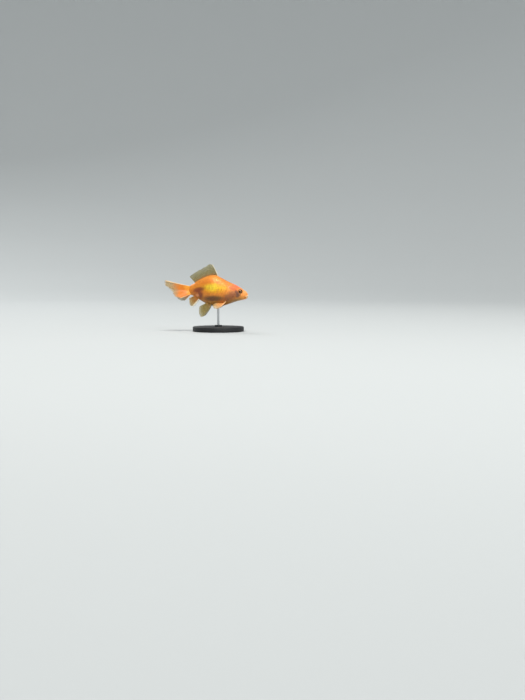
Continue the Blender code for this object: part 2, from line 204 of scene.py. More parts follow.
@dataclass(frozen=True)
class BodyForm:
    """The outer form of the body. Stations are shares of the body's length."""

    length: float = 0.054
    nose_down: float = math.radians(6.0)
    axis_height: float = 0.0340
    balance: float = 0.50
    tail_swing: float = 0.0012
    swing_start: float = 0.55
    ridge: float = 0.14
    lip_swell: float = 0.07
    lip_behind: float = 0.016
    lip_width: float = 0.014
    snout_round: float = 0.046
    tail_round: float = 0.035
    back: Stations = (
        (0.00, 0.058), (0.035, 0.081), (0.085, 0.107), (0.143, 0.138), (0.376, 0.228),
        (0.600, 0.293), (0.741, 0.248), (0.861, 0.170), (0.944, 0.109), (1.00, 0.079),
    )
    belly: Stations = (
        (0.00, -0.030), (0.078, -0.058), (0.228, -0.116), (0.357, -0.178), (0.500, -0.215),
        (0.611, -0.206), (0.713, -0.173), (0.815, -0.125), (0.926, -0.078), (1.00, -0.067),
    )
    half_width: Stations = (
        (0.00, 0.036), (0.028, 0.048), (0.093, 0.073), (0.148, 0.092), (0.240, 0.121),
        (0.333, 0.145), (0.481, 0.167), (0.574, 0.164), (0.667, 0.140), (0.741, 0.108),
        (0.815, 0.078), (0.889, 0.056), (1.00, 0.042),
    )
    widest_level: Stations = (
        (0.00, 0.006), (0.148, 0.006), (0.370, -0.015), (0.520, -0.030), (0.667, -0.015),
        (0.778, 0.015), (0.889, 0.022), (1.00, 0.004),
    )

    def __post_init__(self) -> None:
        """Solve the outline's splines, in metres."""
        for name in ("back", "belly", "half_width", "widest_level"):
            curve = Curve(getattr(self, name), self.length)
            object.__setattr__(self, f"{name}_curve", curve)

    def place(self, spots: Array) -> Array:
        """Turn fish measures into world points.

        Args:
            spots: behind, out and above, on the last axis.

        Returns:
            World points, on the last axis.
        """
        behind, out, above = spots[..., 0], spots[..., 1], spots[..., 2]
        start = self.swing_start * self.length
        swung = np.maximum(0.0, (behind - start) / (self.length - start))
        ahead = self.balance * self.length - behind
        cos, sin = math.cos(self.nose_down), math.sin(self.nose_down)
        return np.stack((ahead * cos + above * sin, out + self.tail_swing * swung**2,
                         self.axis_height - ahead * sin + above * cos), axis=-1)

    def section_size(self, behind: Array) -> Array:
        """Find how much of the full section the rounded ends leave, lips included.

        Args:
            behind: places behind the snout.

        Returns:
            The shares of the full section.
        """
        nose = np.clip(1 - behind / (self.snout_round * self.length), 0, 1)
        tail = np.clip(1 - (self.length - behind) / (self.tail_round * self.length), 0, 1)
        past = (behind - self.lip_behind * self.length) / (self.lip_width * self.length)
        lips = 1 + self.lip_swell * (1 - past) * np.exp(-(past**2))
        return np.sqrt(1 - nose**2) * np.sqrt(1 - tail**2) * lips

    def skin(self, behind: Array, turn: Array) -> Array:
        """Find points of the surface.

        Args:
            behind: places behind the snout.
            turn: angles from the back (0) by the left to the belly (pi).

        Returns:
            Points in fish measures.
        """
        middle = self.widest_level_curve(behind)
        upward = np.cos(turn)
        reach = np.where(
            upward > 0, self.back_curve(behind) - middle, middle - self.belly_curve(behind)
        )
        size = self.section_size(behind)
        out = np.abs(np.sin(turn)) ** (1 + self.ridge * upward) * self.half_width_curve(behind)
        signed = np.copysign(out, np.sin(turn)) * size
        return np.stack(
            np.broadcast_arrays(behind, signed, middle + reach * upward * size), axis=-1
        )

    def skin_out(self, behind: Array, above: Array) -> Array:
        """Find how far out the surface is.

        Args:
            behind: places behind the snout.
            above: heights over the axis.

        Returns:
            The half widths there.
        """
        middle = self.widest_level_curve(behind)
        edge = np.where(above > middle, self.back_curve(behind), self.belly_curve(behind))
        upward = np.clip((above - middle) / np.abs(edge - middle), -1, 1)
        share = (1 - upward**2) ** (0.5 * (1 + self.ridge * upward))
        return share * self.half_width_curve(behind)

    def normals(self, behind: Array, turn: Array) -> Array:
        """Find the outward directions of the surface.

        Args:
            behind: places behind the snout.
            turn: angles from the back.

        Returns:
            Directions in fish measures.
        """
        step, nudge, margin = 0.02 * MM, 0.002, 0.05 * MM
        spot = np.clip(behind, margin, self.length - margin)
        along = self.skin(spot + step, turn) - self.skin(spot - step, turn)
        round_ = self.skin(spot, turn + nudge) - self.skin(spot, turn - nudge)
        return unit(np.cross(along, round_))

    def turned(self, points: Array, ways: Array) -> Array:
        """Turn directions at points from fish measures to world ones."""
        step = 0.1 * MM
        return unit(self.place(points + ways * step) - self.place(points))


# ---- Meshes ----


def link(name: str, data: ID) -> Object:
    """Make an object in the scene.

    Args:
        name: its name.
        data: its mesh, light or camera.

    Returns:
        The object.
    """
    made = bpy.data.objects.new(name, data)
    bpy.context.scene.collection.objects.link(made)
    return made


def new_piece(name: str, points: Array, faces: Sequence[Sequence[int]]) -> Object:
    """Make a smooth-shaded object at the origin.

    Args:
        name: the object's name.
        points: world points, one row each.
        faces: corners of each face, by point.

    Returns:
        The object, linked to the scene.
    """
    mesh = bpy.data.meshes.new(name)
    mesh.from_pydata(points.tolist(), [], [list(map(int, face)) for face in faces])
    mesh.validate()
    mesh.shade_smooth()
    return link(name, mesh)


def face_outwards(piece: Object, weld: float = 0.0) -> None:
    """Turn a piece's faces outwards.

    Args:
        piece: the piece.
        weld: if over 0, the distance at which points are joined first, and open rims closed.
    """
    form = bmesh.new()
    form.from_mesh(piece.data)
    if weld:
        bmesh.ops.remove_doubles(form, verts=form.verts, dist=weld)
        rims = [edge for edge in form.edges if edge.is_boundary]
        bmesh.ops.holes_fill(form, edges=rims, sides=0)
    bmesh.ops.recalc_face_normals(form, faces=form.faces)
    form.to_mesh(piece.data)
    form.free()


def mark_points(piece: Object, **marks: Array) -> None:
    """Store numbers or vectors on a piece's points.

    Args:
        piece: the piece.
        marks: by attribute name, one row for each point.
    """
    for name, values in marks.items():
        kind, field_name = ("FLOAT_VECTOR", "vector") if values.ndim == 2 else ("FLOAT", "value")
        layer = piece.data.attributes.new(name, kind, "POINT")
        layer.data.foreach_set(field_name, values.astype(np.float32).ravel())


def tube_faces(rows: int, around: int) -> Faces:
    """List the faces of a tube.

    Args:
        rows: how many rings of points there are.
        around: how many points each has.

    Returns:
        The faces.
    """
    return [
        (i * around + j, i * around + (j + 1) % around,
         (i + 1) * around + (j + 1) % around, (i + 1) * around + j)
        for i in range(rows - 1) for j in range(around)
    ]


def tube_map(rows: int, around: int) -> Array:
    """Unwrap a tube.

    Args:
        rows: how many rings of points there are.
        around: how many points each has.

    Returns:
        The row and the step round of each corner of its faces.
    """
    corners = [((i, j), (i, j + 1), (i + 1, j + 1), (i + 1, j))
               for i in range(rows - 1) for j in range(around)]
    return np.array(corners, dtype=float).reshape(-1, 2)


def capped_faces(rows: int, around: int) -> Faces:
    """List the faces of a tube whose ends close in a point each.

    Args:
        rows: how many rings of points there are.
        around: how many points each has.

    Returns:
        The faces. The end points come after the rings, the first ring's before the last one's.
    """
    faces = tube_faces(rows, around)
    pole, last = rows * around, (rows - 1) * around
    for j in range(around):
        k = (j + 1) % around
        faces += [(pole, k, j), (pole + 1, last + j, last + k)]
    return faces


def lathe(profile: Stations, around: int) -> Array:
    """Turn (radius, height) points about the upright axis, one ring after another."""
    return np.array([(radius * math.cos(turn), radius * math.sin(turn), height)
                     for radius, height in profile for turn in circle(around)])


def round_grid(stations: Array, around: int) -> tuple[Array, Array]:
    """Return a grid's places behind the snout, and its turns, under 0 on the right."""
    behind, turn = np.meshgrid(stations, circle(around), indexing="ij")
    return behind, np.where(turn > math.pi, turn - TURN, turn)


def settle(piece: Object, nodes: Sequence[str], finish: Material | None) -> None:
    """Finish a piece: its material, its body, and the nodes it stands for.

    Args:
        piece: the piece.
        nodes: the nodes that it replaces, if any.
        finish: its material, or None if it has it already.
    """
    if finish:
        piece.data.materials.append(finish)
    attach(piece, ROOT_BODY)
    if nodes:
        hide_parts(*nodes)
    LOG.info("%s: %d faces, for %s", piece.name, len(piece.data.polygons), nodes or "no node")


# ---- Node trees ----

Feed = object


@dataclass(frozen=True)
class Layer:
    """A web colour that is laid over another, and how strongly."""

    colour: str
    strength: float


class Wiring:
    """A node tree as it is being written, with short calls to add and join nodes.

    A feed is a socket to join, or a value to set. Colours to mix may be web colours.
    """

    def __init__(self, tree: NodeTree) -> None:
        """Write into a tree."""
        self.tree = tree

    def add(self, kind: str, feeds: dict | None = None, **settings: object) -> Node:
        """Add a node.

        Args:
            kind: the node's type.
            feeds: what goes into its inputs, by name or number.
            settings: attributes of the node.

        Returns:
            The node.
        """
        node = self.tree.nodes.new(kind)
        for name, value in settings.items():
            setattr(node, name, value)
        self.fill(node, feeds or {})
        return node

    def fill(self, node: Node, feeds: dict) -> None:
        """Feed a node's inputs, by name or number."""
        for name, value in feeds.items():
            self.feed(node.inputs[name], value)

    def feed(self, socket: NodeSocket, value: Feed) -> None:
        """Join a socket to an output, or set its value.

        Args:
            socket: the input.
            value: what it takes.
        """
        if isinstance(value, NodeSocket):
            self.tree.links.new(value, socket)
        else:
            socket.default_value = value

    def maths(self, operation: str, *values: Feed, clamp: bool = False) -> NodeSocket:
        """Return the result of a Math node, kept from 0 to 1 if clamp is set."""
        settings = {"operation": operation, "use_clamp": clamp}
        return self.add("ShaderNodeMath", dict(enumerate(values)), **settings).outputs[0]

    def times(self, first: Feed, second: Feed) -> NodeSocket:
        """Return a product."""
        return self.maths("MULTIPLY", first, second)

    def plus(self, first: Feed, second: Feed) -> NodeSocket:
        """Return a sum."""
        return self.maths("ADD", first, second)

    def minus(self, first: Feed, second: Feed) -> NodeSocket:
        """Return a difference."""
        return self.maths("SUBTRACT", first, second)

    def between(self, share: Feed, first: Feed, second: Feed) -> NodeSocket:
        """Return the number a share of the way from the first to the second."""
        return self.plus(self.times(self.minus(1.0, share), first), self.times(share, second))

    def diagonal(self, over: Feed, up: Feed) -> NodeSocket:
        """Return the distance that two steps at a right angle make."""
        squares = (self.maths("POWER", self.maths("ABSOLUTE", side), 2.0) for side in (over, up))
        return self.maths("SQRT", self.plus(*squares))

    def vector(self, operation: str, *values: Feed) -> NodeSocket:
        """Return the result of a Vector Math node, a number for a dot product."""
        node = self.add("ShaderNodeVectorMath", dict(enumerate(values)), operation=operation)
        return node.outputs["Value" if operation == "DOT_PRODUCT" else "Vector"]

    def scaled(self, way: NodeSocket, size: Feed) -> NodeSocket:
        """Return a vector times a number."""
        node = self.add("ShaderNodeVectorMath", {0: way, "Scale": size}, operation="SCALE")
        return node.outputs["Vector"]

    def joined(self, *values: Feed) -> NodeSocket:
        """Return a vector made of three numbers."""
        return self.add("ShaderNodeCombineXYZ", dict(enumerate(values))).outputs[0]

    def remap(
        self, value: Feed, start: float, end: float, low: Feed = 0.0, high: Feed = 1.0,
        kind: str = "SMOOTHSTEP",
    ) -> NodeSocket:
        """Return low before start and high past end, with a smooth or linear way between."""
        feeds = {"Value": value, "From Min": start, "From Max": end, "To Min": low, "To Max": high}
        return self.add("ShaderNodeMapRange", feeds, interpolation_type=kind).outputs["Result"]

    def blend(self, share: Feed, first: Feed, second: Feed, way: str = "MIX") -> NodeSocket:
        """Mix two colours.

        Args:
            share: how much of the second colour goes in.
            first: the first colour.
            second: the second colour.
            way: how they mix.

        Returns:
            The colour.
        """
        node = self.add("ShaderNodeMix", data_type="RGBA", blend_type=way)
        for place, value in ((0, share), (6, first), (7, second)):
            self.feed(node.inputs[place], tint(value) if isinstance(value, str) else value)
        return node.outputs[2]

    def laid(self, colour: Feed, mask: Feed, layer: Layer) -> NodeSocket:
        """Return a colour with a layer over it where its mask is."""
        return self.blend(self.times(mask, layer.strength), colour, layer.colour)

    def ramp(self, value: Feed, *stops: tuple[float, str]) -> NodeSocket:
        """Read a colour from a ramp.

        Args:
            value: the place on the ramp.
            stops: (place, web colour) pairs.

        Returns:
            The colour.
        """
        node = self.add("ShaderNodeValToRGB", {"Fac": value})
        elements = node.color_ramp.elements
        while len(elements) < len(stops):
            elements.new(0.5)
        for element, (place, code) in zip(elements, stops):
            element.position = place
            element.color = tint(code)
        return node.outputs["Color"]

    def noise(
        self, place: Feed, scale: float, detail: float = 2.0, output: str = "Fac"
    ) -> NodeSocket:
        """Return a noise from 0 to 1, of a scale and with a number of finer layers."""
        feeds = {"Vector": place, "Scale": scale, "Detail": detail}
        return self.add("ShaderNodeTexNoise", feeds).outputs[output]

    def bump(self, height: Feed, strength: float, distance: float) -> NodeSocket:
        """Return a normal turned by a height that reaches a distance, in metres."""
        feeds = {"Height": height, "Strength": strength, "Distance": distance}
        return self.add("ShaderNodeBump", feeds).outputs["Normal"]

    def attribute(self, name: str) -> NodeSocket:
        """Return a number stored on the piece's points."""
        return self.add("ShaderNodeAttribute", attribute_name=name).outputs["Fac"]

    def spot(self) -> NodeSocket:
        """Return the place on the piece, in metres."""
        return self.add("ShaderNodeTexCoord").outputs["Object"]


def new_group(
    name: str, tree_kind: str, inputs: dict[str, object], outputs: dict[str, str]
) -> tuple[NodeTree, Wiring, Node, Node]:
    """Start a node group with named inputs and outputs.

    Args:
        name: the group's name.
        tree_kind: the type of tree.
        inputs: by name, the default, or the kind where there is none.
        outputs: by name, the kind.

    Returns:
        The tree, its wiring, and its input and output nodes.
    """
    tree = bpy.data.node_groups.new(name, tree_kind)
    kinds = {float: "Float", int: "Int", tuple: "Color"}
    for title, value in inputs.items():
        kind = value if isinstance(value, str) else kinds[type(value)]
        made = tree.interface.new_socket(name=title, socket_type=f"NodeSocket{kind}")
        if kind != value:
            made.default_value = value
    for title, kind in outputs.items():
        tree.interface.new_socket(name=title, in_out="OUTPUT", socket_type=f"NodeSocket{kind}")
    wiring = Wiring(tree)
    start = wiring.add("NodeGroupInput")
    return tree, wiring, start, wiring.add("NodeGroupOutput")


def grown_by_nodes(name: str, host: Object, tree: NodeTree, values: dict[str, object]) -> Object:
    """Run a Geometry Nodes tree on a host, and keep the result as a plain mesh.

    Args:
        name: the finished object's name.
        host: the object whose mesh feeds the tree; it is removed.
        tree: the geometry tree.
        values: the tree's inputs, by name.

    Returns:
        The finished object, linked to the scene.
    """
    modifier = host.modifiers.new("growth", "NODES")
    modifier.node_group = tree
    sockets = {s.name: s.identifier for s in tree.interface.items_tree if s.in_out == "INPUT"}
    for title, value in values.items():
        modifier[sockets[title]] = value
    evaluated = host.evaluated_get(bpy.context.evaluated_depsgraph_get())
    mesh = bpy.data.meshes.new_from_object(evaluated)
    mesh.name = name
    host.modifiers.clear()
    bpy.data.objects.remove(host, do_unlink=True)
    return link(name, mesh)


# ---- Markings and painted light shared by the skin and its scales ----


def fish_places_group(body: BodyForm) -> NodeTree:
    """Make the group that gives a point's fish measures, in millimetres.

    Args:
        body: the form that fixes the body axis in the world.

    Returns:
        The shader group, with the outputs Place and Above.
    """
    outputs = {"Place": "Vector", "Above": "Float"}
    tree, w, _, end = new_group("Fish Places", "ShaderNodeTree", {}, outputs)
    moved = w.vector("SUBTRACT", w.spot(), (0.0, 0.0, body.axis_height))
    cos, sin = math.cos(body.nose_down) / MM, math.sin(body.nose_down) / MM
    ahead = w.vector("DOT_PRODUCT", moved, (cos, 0.0, -sin))
    out = w.vector("DOT_PRODUCT", moved, (0.0, 1.0 / MM, 0.0))
    above = w.vector("DOT_PRODUCT", moved, (sin, 0.0, cos))
    behind = w.minus(body.balance * body.length / MM, ahead)
    w.fill(end, {"Place": w.joined(behind, out, above), "Above": above})
    return tree


@dataclass(frozen=True)
class Patch:
    """A soft-edged patch of colour on both flanks, in millimetres of fish measures."""

    behind: float
    above: float
    long: float
    high: float
    colour: str
    strength: float = 1.0
    soft: float = 0.6
    lean: float = 0.0


@dataclass(frozen=True)
class Pigment:
    """Orange, with a gold flank partly painted highlight and a dark belly partly painted shade."""

    # Belly to back: the dark belly is partly the fish's colour and partly painted shade.
    belly_to_back: tuple[tuple[float, str], ...] = (
        (0.06, "94702F"), (0.26, "C4822E"), (0.50, "EC9028"), (0.86, "EE9430"),
    )
    lowest: float = -12.0
    highest: float = 14.0
    drift: float = 2.0
    dusky_below: float = 0.45
    fleck: Layer = Layer("C2461A", 0.16)
    patches: tuple[Patch, ...] = (
        # Gold flank: partly the fish's yellow, partly a painted highlight of the lit flank.
        Patch(30.3, 4.9, 10.4, 3.8, "FFC01A", 0.95, 0.60, 6.0),
        Patch(32.4, 5.4, 6.0, 2.5, "FFE03A", 0.94, 0.75, 6.0),
        Patch(36.5, 9.6, 9.0, 2.2, "E87E1E", 0.55, 0.75, 18.0),
        # Olive band under the belly: mostly painted shade, partly dark colour of the skin.
        Patch(28.9, -4.4, 8.6, 2.3, "353606", 0.94, 0.55, 5.0),
        Patch(33.0, -5.2, 4.8, 1.7, "202604", 0.66, 0.70, 5.0),
        # Dark red-brown under the rear flank: partly its own colour, partly painted shade.
        Patch(45.2, -0.9, 4.6, 3.4, "A0501C", 0.62, 0.60, 10.0),
        Patch(44.4, 1.8, 5.4, 1.9, "64260F", 0.90, 0.60, 20.0),
        Patch(42.6, -2.6, 4.0, 2.1, "64260F", 0.88, 0.60, -74.0),
        # Pink-white spot low on the rear flank: a painted glint.
        Patch(45.6, -3.4, 1.3, 1.0, "F0A078", 0.78, 0.65),
        Patch(15.6, -1.4, 6.0, 3.2, "7E4420", 0.80, 0.55, 30.0),
        Patch(12.6, 1.8, 3.4, 2.4, "98521F", 0.55, 0.60),
        # Deeper orange on the shoulder: painted shade that damps the lamp's highlight there.
        Patch(24.6, 10.4, 6.4, 2.2, "EA7410", 0.62, 0.65, -12.0),
        Patch(13.6, 6.4, 4.4, 2.0, "D8620A", 0.88, 0.65, -16.0),
        Patch(10.6, 8.5, 4.4, 1.2, "F86E4C", 0.80, 0.65, -19.0),
        # Dull brown under the jaw and throat: painted shade of the head's underside.
        Patch(10.3, -4.7, 6.6, 1.6, "9A7A40", 0.80, 0.60, 19.0),
        Patch(3.2, 1.2, 3.3, 3.6, "EE9A40", 0.75, 0.60),
        Patch(2.6, 4.3, 2.8, 1.1, "EEB878", 0.55, 0.60, -28.0),
        # Behind and below the eye: partly dark skin colour, partly painted socket shade.
        Patch(9.0, 0.8, 2.0, 2.4, "3A2C24", 0.84, 0.55),
        Patch(10.3, 3.4, 1.6, 1.5, "54240C", 0.82, 0.55),
        # Pale cream lips: partly their own colour, partly a painted highlight.
        Patch(0.3, 0.3, 1.4, 1.1, "FDE3BC", 0.90, 0.65),
    )

    def group(self, places: NodeTree) -> NodeTree:
        """Make the shader group of markings, painted shade and painted highlights.

        Args:
            places: the group that gives fish measures.

        Returns:
            The group, with the outputs Colour, Dusk and Fleck.
        """
        outputs = {"Colour": "Color", "Dusk": "Float", "Fleck": "Float"}
        tree, w, _, end = new_group("Goldfish Pigment", "ShaderNodeTree", {}, outputs)
        spots = w.add("ShaderNodeGroup", node_tree=places).outputs
        cloud = w.noise(spots["Place"], 0.22, 3.0, "Color")
        drift = w.scaled(w.vector("SUBTRACT", cloud, (0.5, 0.5, 0.5)), self.drift)
        place = w.vector("ADD", spots["Place"], drift)
        height = w.remap(spots["Above"], self.lowest, self.highest, kind="LINEAR")
        colour = w.ramp(height, *self.belly_to_back)
        dusk: Feed = 0.0
        for patch in self.patches:
            mask = self.mask(w, place, patch)
            colour = w.blend(mask, colour, patch.colour)
            if sum(tint(patch.colour)[:3]) < self.dusky_below:
                dusk = w.maths("MAXIMUM", dusk, mask)
        fleck = w.remap(w.noise(spots["Place"], 1.5, 3.0), 0.40, 0.68)
        colour = w.laid(colour, fleck, self.fleck)
        w.fill(end, {"Colour": colour, "Dusk": dusk, "Fleck": fleck})
        return tree

    @staticmethod
    def mask(w: Wiring, place: Feed, patch: Patch) -> NodeSocket:
        """Find a patch's share of the surface colour.

        Args:
            w: the wiring of the group.
            place: the point's fish measures.
            patch: the patch.

        Returns:
            The share, from 0 to the patch's strength.
        """
        centred = w.vector("SUBTRACT", place, (patch.behind, 0.0, patch.above))
        lean = math.radians(patch.lean)
        cos, sin = math.cos(lean), math.sin(lean)
        along = w.vector("DOT_PRODUCT", centred, (cos / patch.long, 0.0, -sin / patch.long))
        over = w.vector("DOT_PRODUCT", centred, (sin / patch.high, 0.0, cos / patch.high))
        reach = w.diagonal(along, over)
        return w.remap(reach, 1 + patch.soft, 1 - patch.soft, 0.0, patch.strength)


# ---- Finishes ----


def new_material(name: str) -> tuple[Material, Wiring, Node]:
    """Start a material.

    Args:
        name: the material's name.

    Returns:
        The material, its wiring and its Principled shader.
    """
    made = bpy.data.materials.new(name)
    made.use_nodes = True
    return made, Wiring(made.node_tree), made.node_tree.nodes["Principled BSDF"]


@dataclass(frozen=True)
class SkinFinish:
    """Bare skin of the head and between the scales."""

    freckle: Layer = Layer("6E3317", 0.42)
    fleck: Layer = Layer("FFC488", 0.40)
    # Painted shade in the mouth, gill slit, grooves, nostrils and throat folds.
    fold: Layer = Layer("4E1A0C", 0.85)
    roughness: float = 0.40
    roughness_spread: float = 0.14
    coat: float = 0.22
    coat_roughness: float = 0.22
    subsurface: float = 0.12
    subsurface_reach: float = 0.8 * MM
    subsurface_radius: tuple[float, float, float] = (1.0, 0.35, 0.12)
    pore_height: float = 0.00003

    def material(self, pigment: NodeTree, places: NodeTree) -> Material:
        """Make the skin's material.

        Args:
            pigment: the group of markings, painted shade and painted highlights.
            places: the group of fish measures.

        Returns:
            The material.
        """
        made, w, shader = new_material("goldfish_skin")
        marks = w.add("ShaderNodeGroup", node_tree=pigment).outputs
        spot = w.add("ShaderNodeGroup", node_tree=places).outputs["Place"]
        cheek = w.attribute("cheek")
        freckles = w.times(w.remap(w.noise(spot, 2.2, 3.0), 0.40, 0.70), cheek)
        flecks = w.times(w.remap(w.noise(spot, 1.5, 2.0), 0.60, 0.74), cheek)
        colour = w.laid(marks["Colour"], freckles, self.freckle)
        colour = w.laid(colour, flecks, self.fleck)
        # Painted shade laid in the creases.
        colour = w.laid(colour, w.attribute("fold"), self.fold)
        pores = w.plus(w.noise(spot, 3.5, 3.0), w.times(w.noise(spot, 9.0, 1.0), 0.4))
        w.fill(shader, {
            "Base Color": colour,
            "Roughness": w.remap(marks["Fleck"], 0.0, 1.0, self.roughness,
                                 self.roughness + self.roughness_spread),
            "Coat Weight": self.coat,
            "Coat Roughness": self.coat_roughness,
            "Subsurface Weight": self.subsurface,
            "Subsurface Radius": self.subsurface_radius,
            "Subsurface Scale": self.subsurface_reach,
            "Normal": w.bump(pores, 0.35, self.pore_height),
        })
        return made


@dataclass(frozen=True)
class ScaleFinish:
    """Metallic scales: each with its own tone, a thin bright edge and fine growth rings."""

    bright: Layer = Layer("FFD27A", 0.30)
    deep: Layer = Layer("B24A10", 0.26)
    seam: Layer = Layer("8A360C", 0.34)
    rim: Layer = Layer("FFC070", 0.22)
    pore: Layer = Layer("6B2A0C", 0.50)
    metallic: float = 0.28
    dusky_metallic: float = 0.12
    roughness: float = 0.40
    coat: float = 0.16
    coat_roughness: float = 0.24
    rings: float = 95.0
    spokes: float = 34.0
    relief_height: float = 0.00001

    def material(self, pigment: NodeTree) -> Material:
        """Make the scales' material.

        Args:
            pigment: the group of markings, painted shade and painted highlights.

        Returns:
            The material.
        """
        made, w, shader = new_material("goldfish_scale")
        marks = w.add("ShaderNodeGroup", node_tree=pigment).outputs
        tone, along, across, line, lap = (
            w.attribute(name) for name in ("tone", "along", "across", "line", "lap"))
        colour = w.blend(w.times(tone, self.bright.strength), marks["Colour"],
                         self.bright.colour, "SOFT_LIGHT")
        colour = w.laid(colour, w.remap(tone, 0.0, 0.4, 1.0, 0.0), self.deep)
        covered = w.minus(lap, w.times(w.maths("ABSOLUTE", across), 0.28))
        colour = w.laid(colour, w.remap(covered, 0.71, 0.55), self.seam)
        colour = w.laid(colour, w.remap(along, 0.90, 0.985), self.rim)
        off_pore = w.diagonal(w.maths("DIVIDE", across, 0.10),
                              w.maths("DIVIDE", w.minus(lap, 0.76), 0.12))
        colour = w.laid(colour, w.times(line, w.remap(off_pore, 1.1, 0.3)), self.pore)
        relief = w.plus(w.times(w.maths("SINE", w.times(along, self.rings)), 0.5),
                        w.times(w.maths("SINE", w.times(across, self.spokes)), 0.25))
        w.fill(shader, {
            "Base Color": colour,
            "Metallic": w.remap(marks["Dusk"], 0.0, 1.0, self.metallic, self.dusky_metallic),
            "Roughness": w.remap(tone, 0.0, 1.0, self.roughness + 0.10, self.roughness - 0.04),
            "Coat Weight": self.coat,
            "Coat Roughness": self.coat_roughness,
            "Normal": w.bump(relief, 0.22, self.relief_height),
        })
        return made


def fin_tint_group() -> NodeTree:
    """Make the group that colours a fin from its root to its tips and across its rays.

    Returns:
        The shader group, with the outputs Colour, Alpha and Relief.
    """
    inputs = {f"{part} Colour": (1, 1, 1, 1) for part in ("Root", "Blade", "Tip", "Edge")} | {
        "Root Alpha": 0.9, "Blade Alpha": 0.6, "Tip Alpha": 0.4, "Edge Width": 0.06,
        "Far Edge Width": 0.001, "Tip Start": 0.45, "Fade Lean": 0.0, "Rays": 16.0,
    }
    outputs = {"Colour": "Color", "Alpha": "Float", "Relief": "Float"}
    tree, w, start, end = new_group("Fin Tint", "ShaderNodeTree", inputs, outputs)
    given = start.outputs
    along, across = w.attribute("along"), w.attribute("across")
    reach = w.plus(along, w.times(w.minus(w.noise(w.spot(), 420.0, 3.0), 0.5), 0.35))
    inner = w.remap(reach, 0.02, 0.42)
    leaned = w.times(w.minus(0.5, across), given["Fade Lean"])
    outer = w.remap(w.plus(reach, leaned), given["Tip Start"], 1.0)
    edges = [
        w.remap(w.maths("DIVIDE", off, given[width]), 1.0, 0.35)
        for off, width in ((across, "Edge Width"), (w.minus(1.0, across), "Far Edge Width"))
    ]
    leading = w.maths("MAXIMUM", *edges)
    colour = w.blend(inner, given["Root Colour"], given["Blade Colour"])
    colour = w.blend(outer, colour, given["Tip Colour"])
    colour = w.blend(leading, colour, given["Edge Colour"])
    beat = w.maths("COSINE", w.times(w.times(across, given["Rays"]), TURN))
    streak = w.plus(w.times(beat, -0.5), 0.5)
    alpha = w.between(inner, given["Root Alpha"], given["Blade Alpha"])
    alpha = w.between(outer, alpha, given["Tip Alpha"])
    alpha = w.times(alpha, w.remap(streak, 0.0, 1.0, 0.84, 1.08))
    alpha = w.maths("MAXIMUM", alpha, w.times(leading, 0.85), clamp=True)
    w.fill(end, {"Colour": colour, "Alpha": alpha, "Relief": streak})
    return tree


@dataclass(frozen=True)
class FinFinish:
    """The colours of one kind of fin, and how clear it is."""

    name: str
    root: str
    blade: str
    tip: str
    edge: str
    ray: str
    ray_tip: str
    alphas: tuple[float, float, float]
    edge_width: float
    far_edge_width: float = 0.001
    tip_start: float = 0.45
    fade_lean: float = 0.0
    ray_alpha: float = 0.30
    roughness: float = 0.46
    coat: float = 0.10
    joint: Layer = Layer("8A4A1E", 0.35)
    joint_pitch: float = 0.55 * MM

    def tinted(
        self, w: Wiring, group: NodeTree, rays: int, colours: tuple[str, str, str], more: float
    ) -> Node:
        """Add the tint group with this fin's values.

        Args:
            w: the wiring of the material.
            group: the fin tint group.
            rays: how many rays the fin has.
            colours: the colours of root, blade and tip.
            more: what the alphas are raised by.

        Returns:
            The group's node.
        """
        feeds: dict = {
            "Edge Colour": tint(self.edge), "Edge Width": self.edge_width,
            "Far Edge Width": self.far_edge_width, "Tip Start": self.tip_start,
            "Fade Lean": self.fade_lean, "Rays": float(rays),
        }
        for part, code, alpha in zip(("Root", "Blade", "Tip"), colours, self.alphas):
            feeds[f"{part} Colour"] = tint(code)
            feeds[f"{part} Alpha"] = min(1.0, alpha + more)
        return w.add("ShaderNodeGroup", feeds, node_tree=group)

    def membrane(self, group: NodeTree, rays: int) -> Material:
        """Make the clear membrane's material.

        Args:
            group: the fin tint group.
            rays: how many rays the fin has.

        Returns:
            The material.
        """
        made, w, shader = new_material(f"{self.name}_membrane")
        tinted = self.tinted(w, group, rays, (self.root, self.blade, self.tip), 0.0).outputs
        w.fill(shader, {
            "Base Color": tinted["Colour"],
            "Alpha": tinted["Alpha"],
            "Roughness": self.roughness,
            "Specular IOR Level": 0.35,
            "Coat Weight": self.coat,
            "Coat Roughness": 0.25,
            "Normal": w.bump(tinted["Relief"], 0.5, 0.00006),
        })
        return made

    def rays(self, group: NodeTree, rays: int) -> Material:
        """Make the jointed rays' material.

        Args:
            group: the fin tint group.
            rays: how many rays the fin has.

        Returns:
            The material.
        """
        made, w, shader = new_material(f"{self.name}_rays")
        colours = (self.ray, self.ray, self.ray_tip)
        tinted = self.tinted(w, group, rays, colours, self.ray_alpha).outputs
        step = w.times(w.attribute("reach"), TURN / self.joint_pitch)
        joint = w.remap(w.maths("COSINE", step), 0.55, 0.95)
        w.fill(shader, {
            "Base Color": w.laid(tinted["Colour"], joint, self.joint),
            "Alpha": tinted["Alpha"],
            "Roughness": self.roughness,
            "Coat Weight": self.coat,
            "Normal": w.bump(w.minus(1.0, joint), 0.4, 0.00004),
        })
        return made


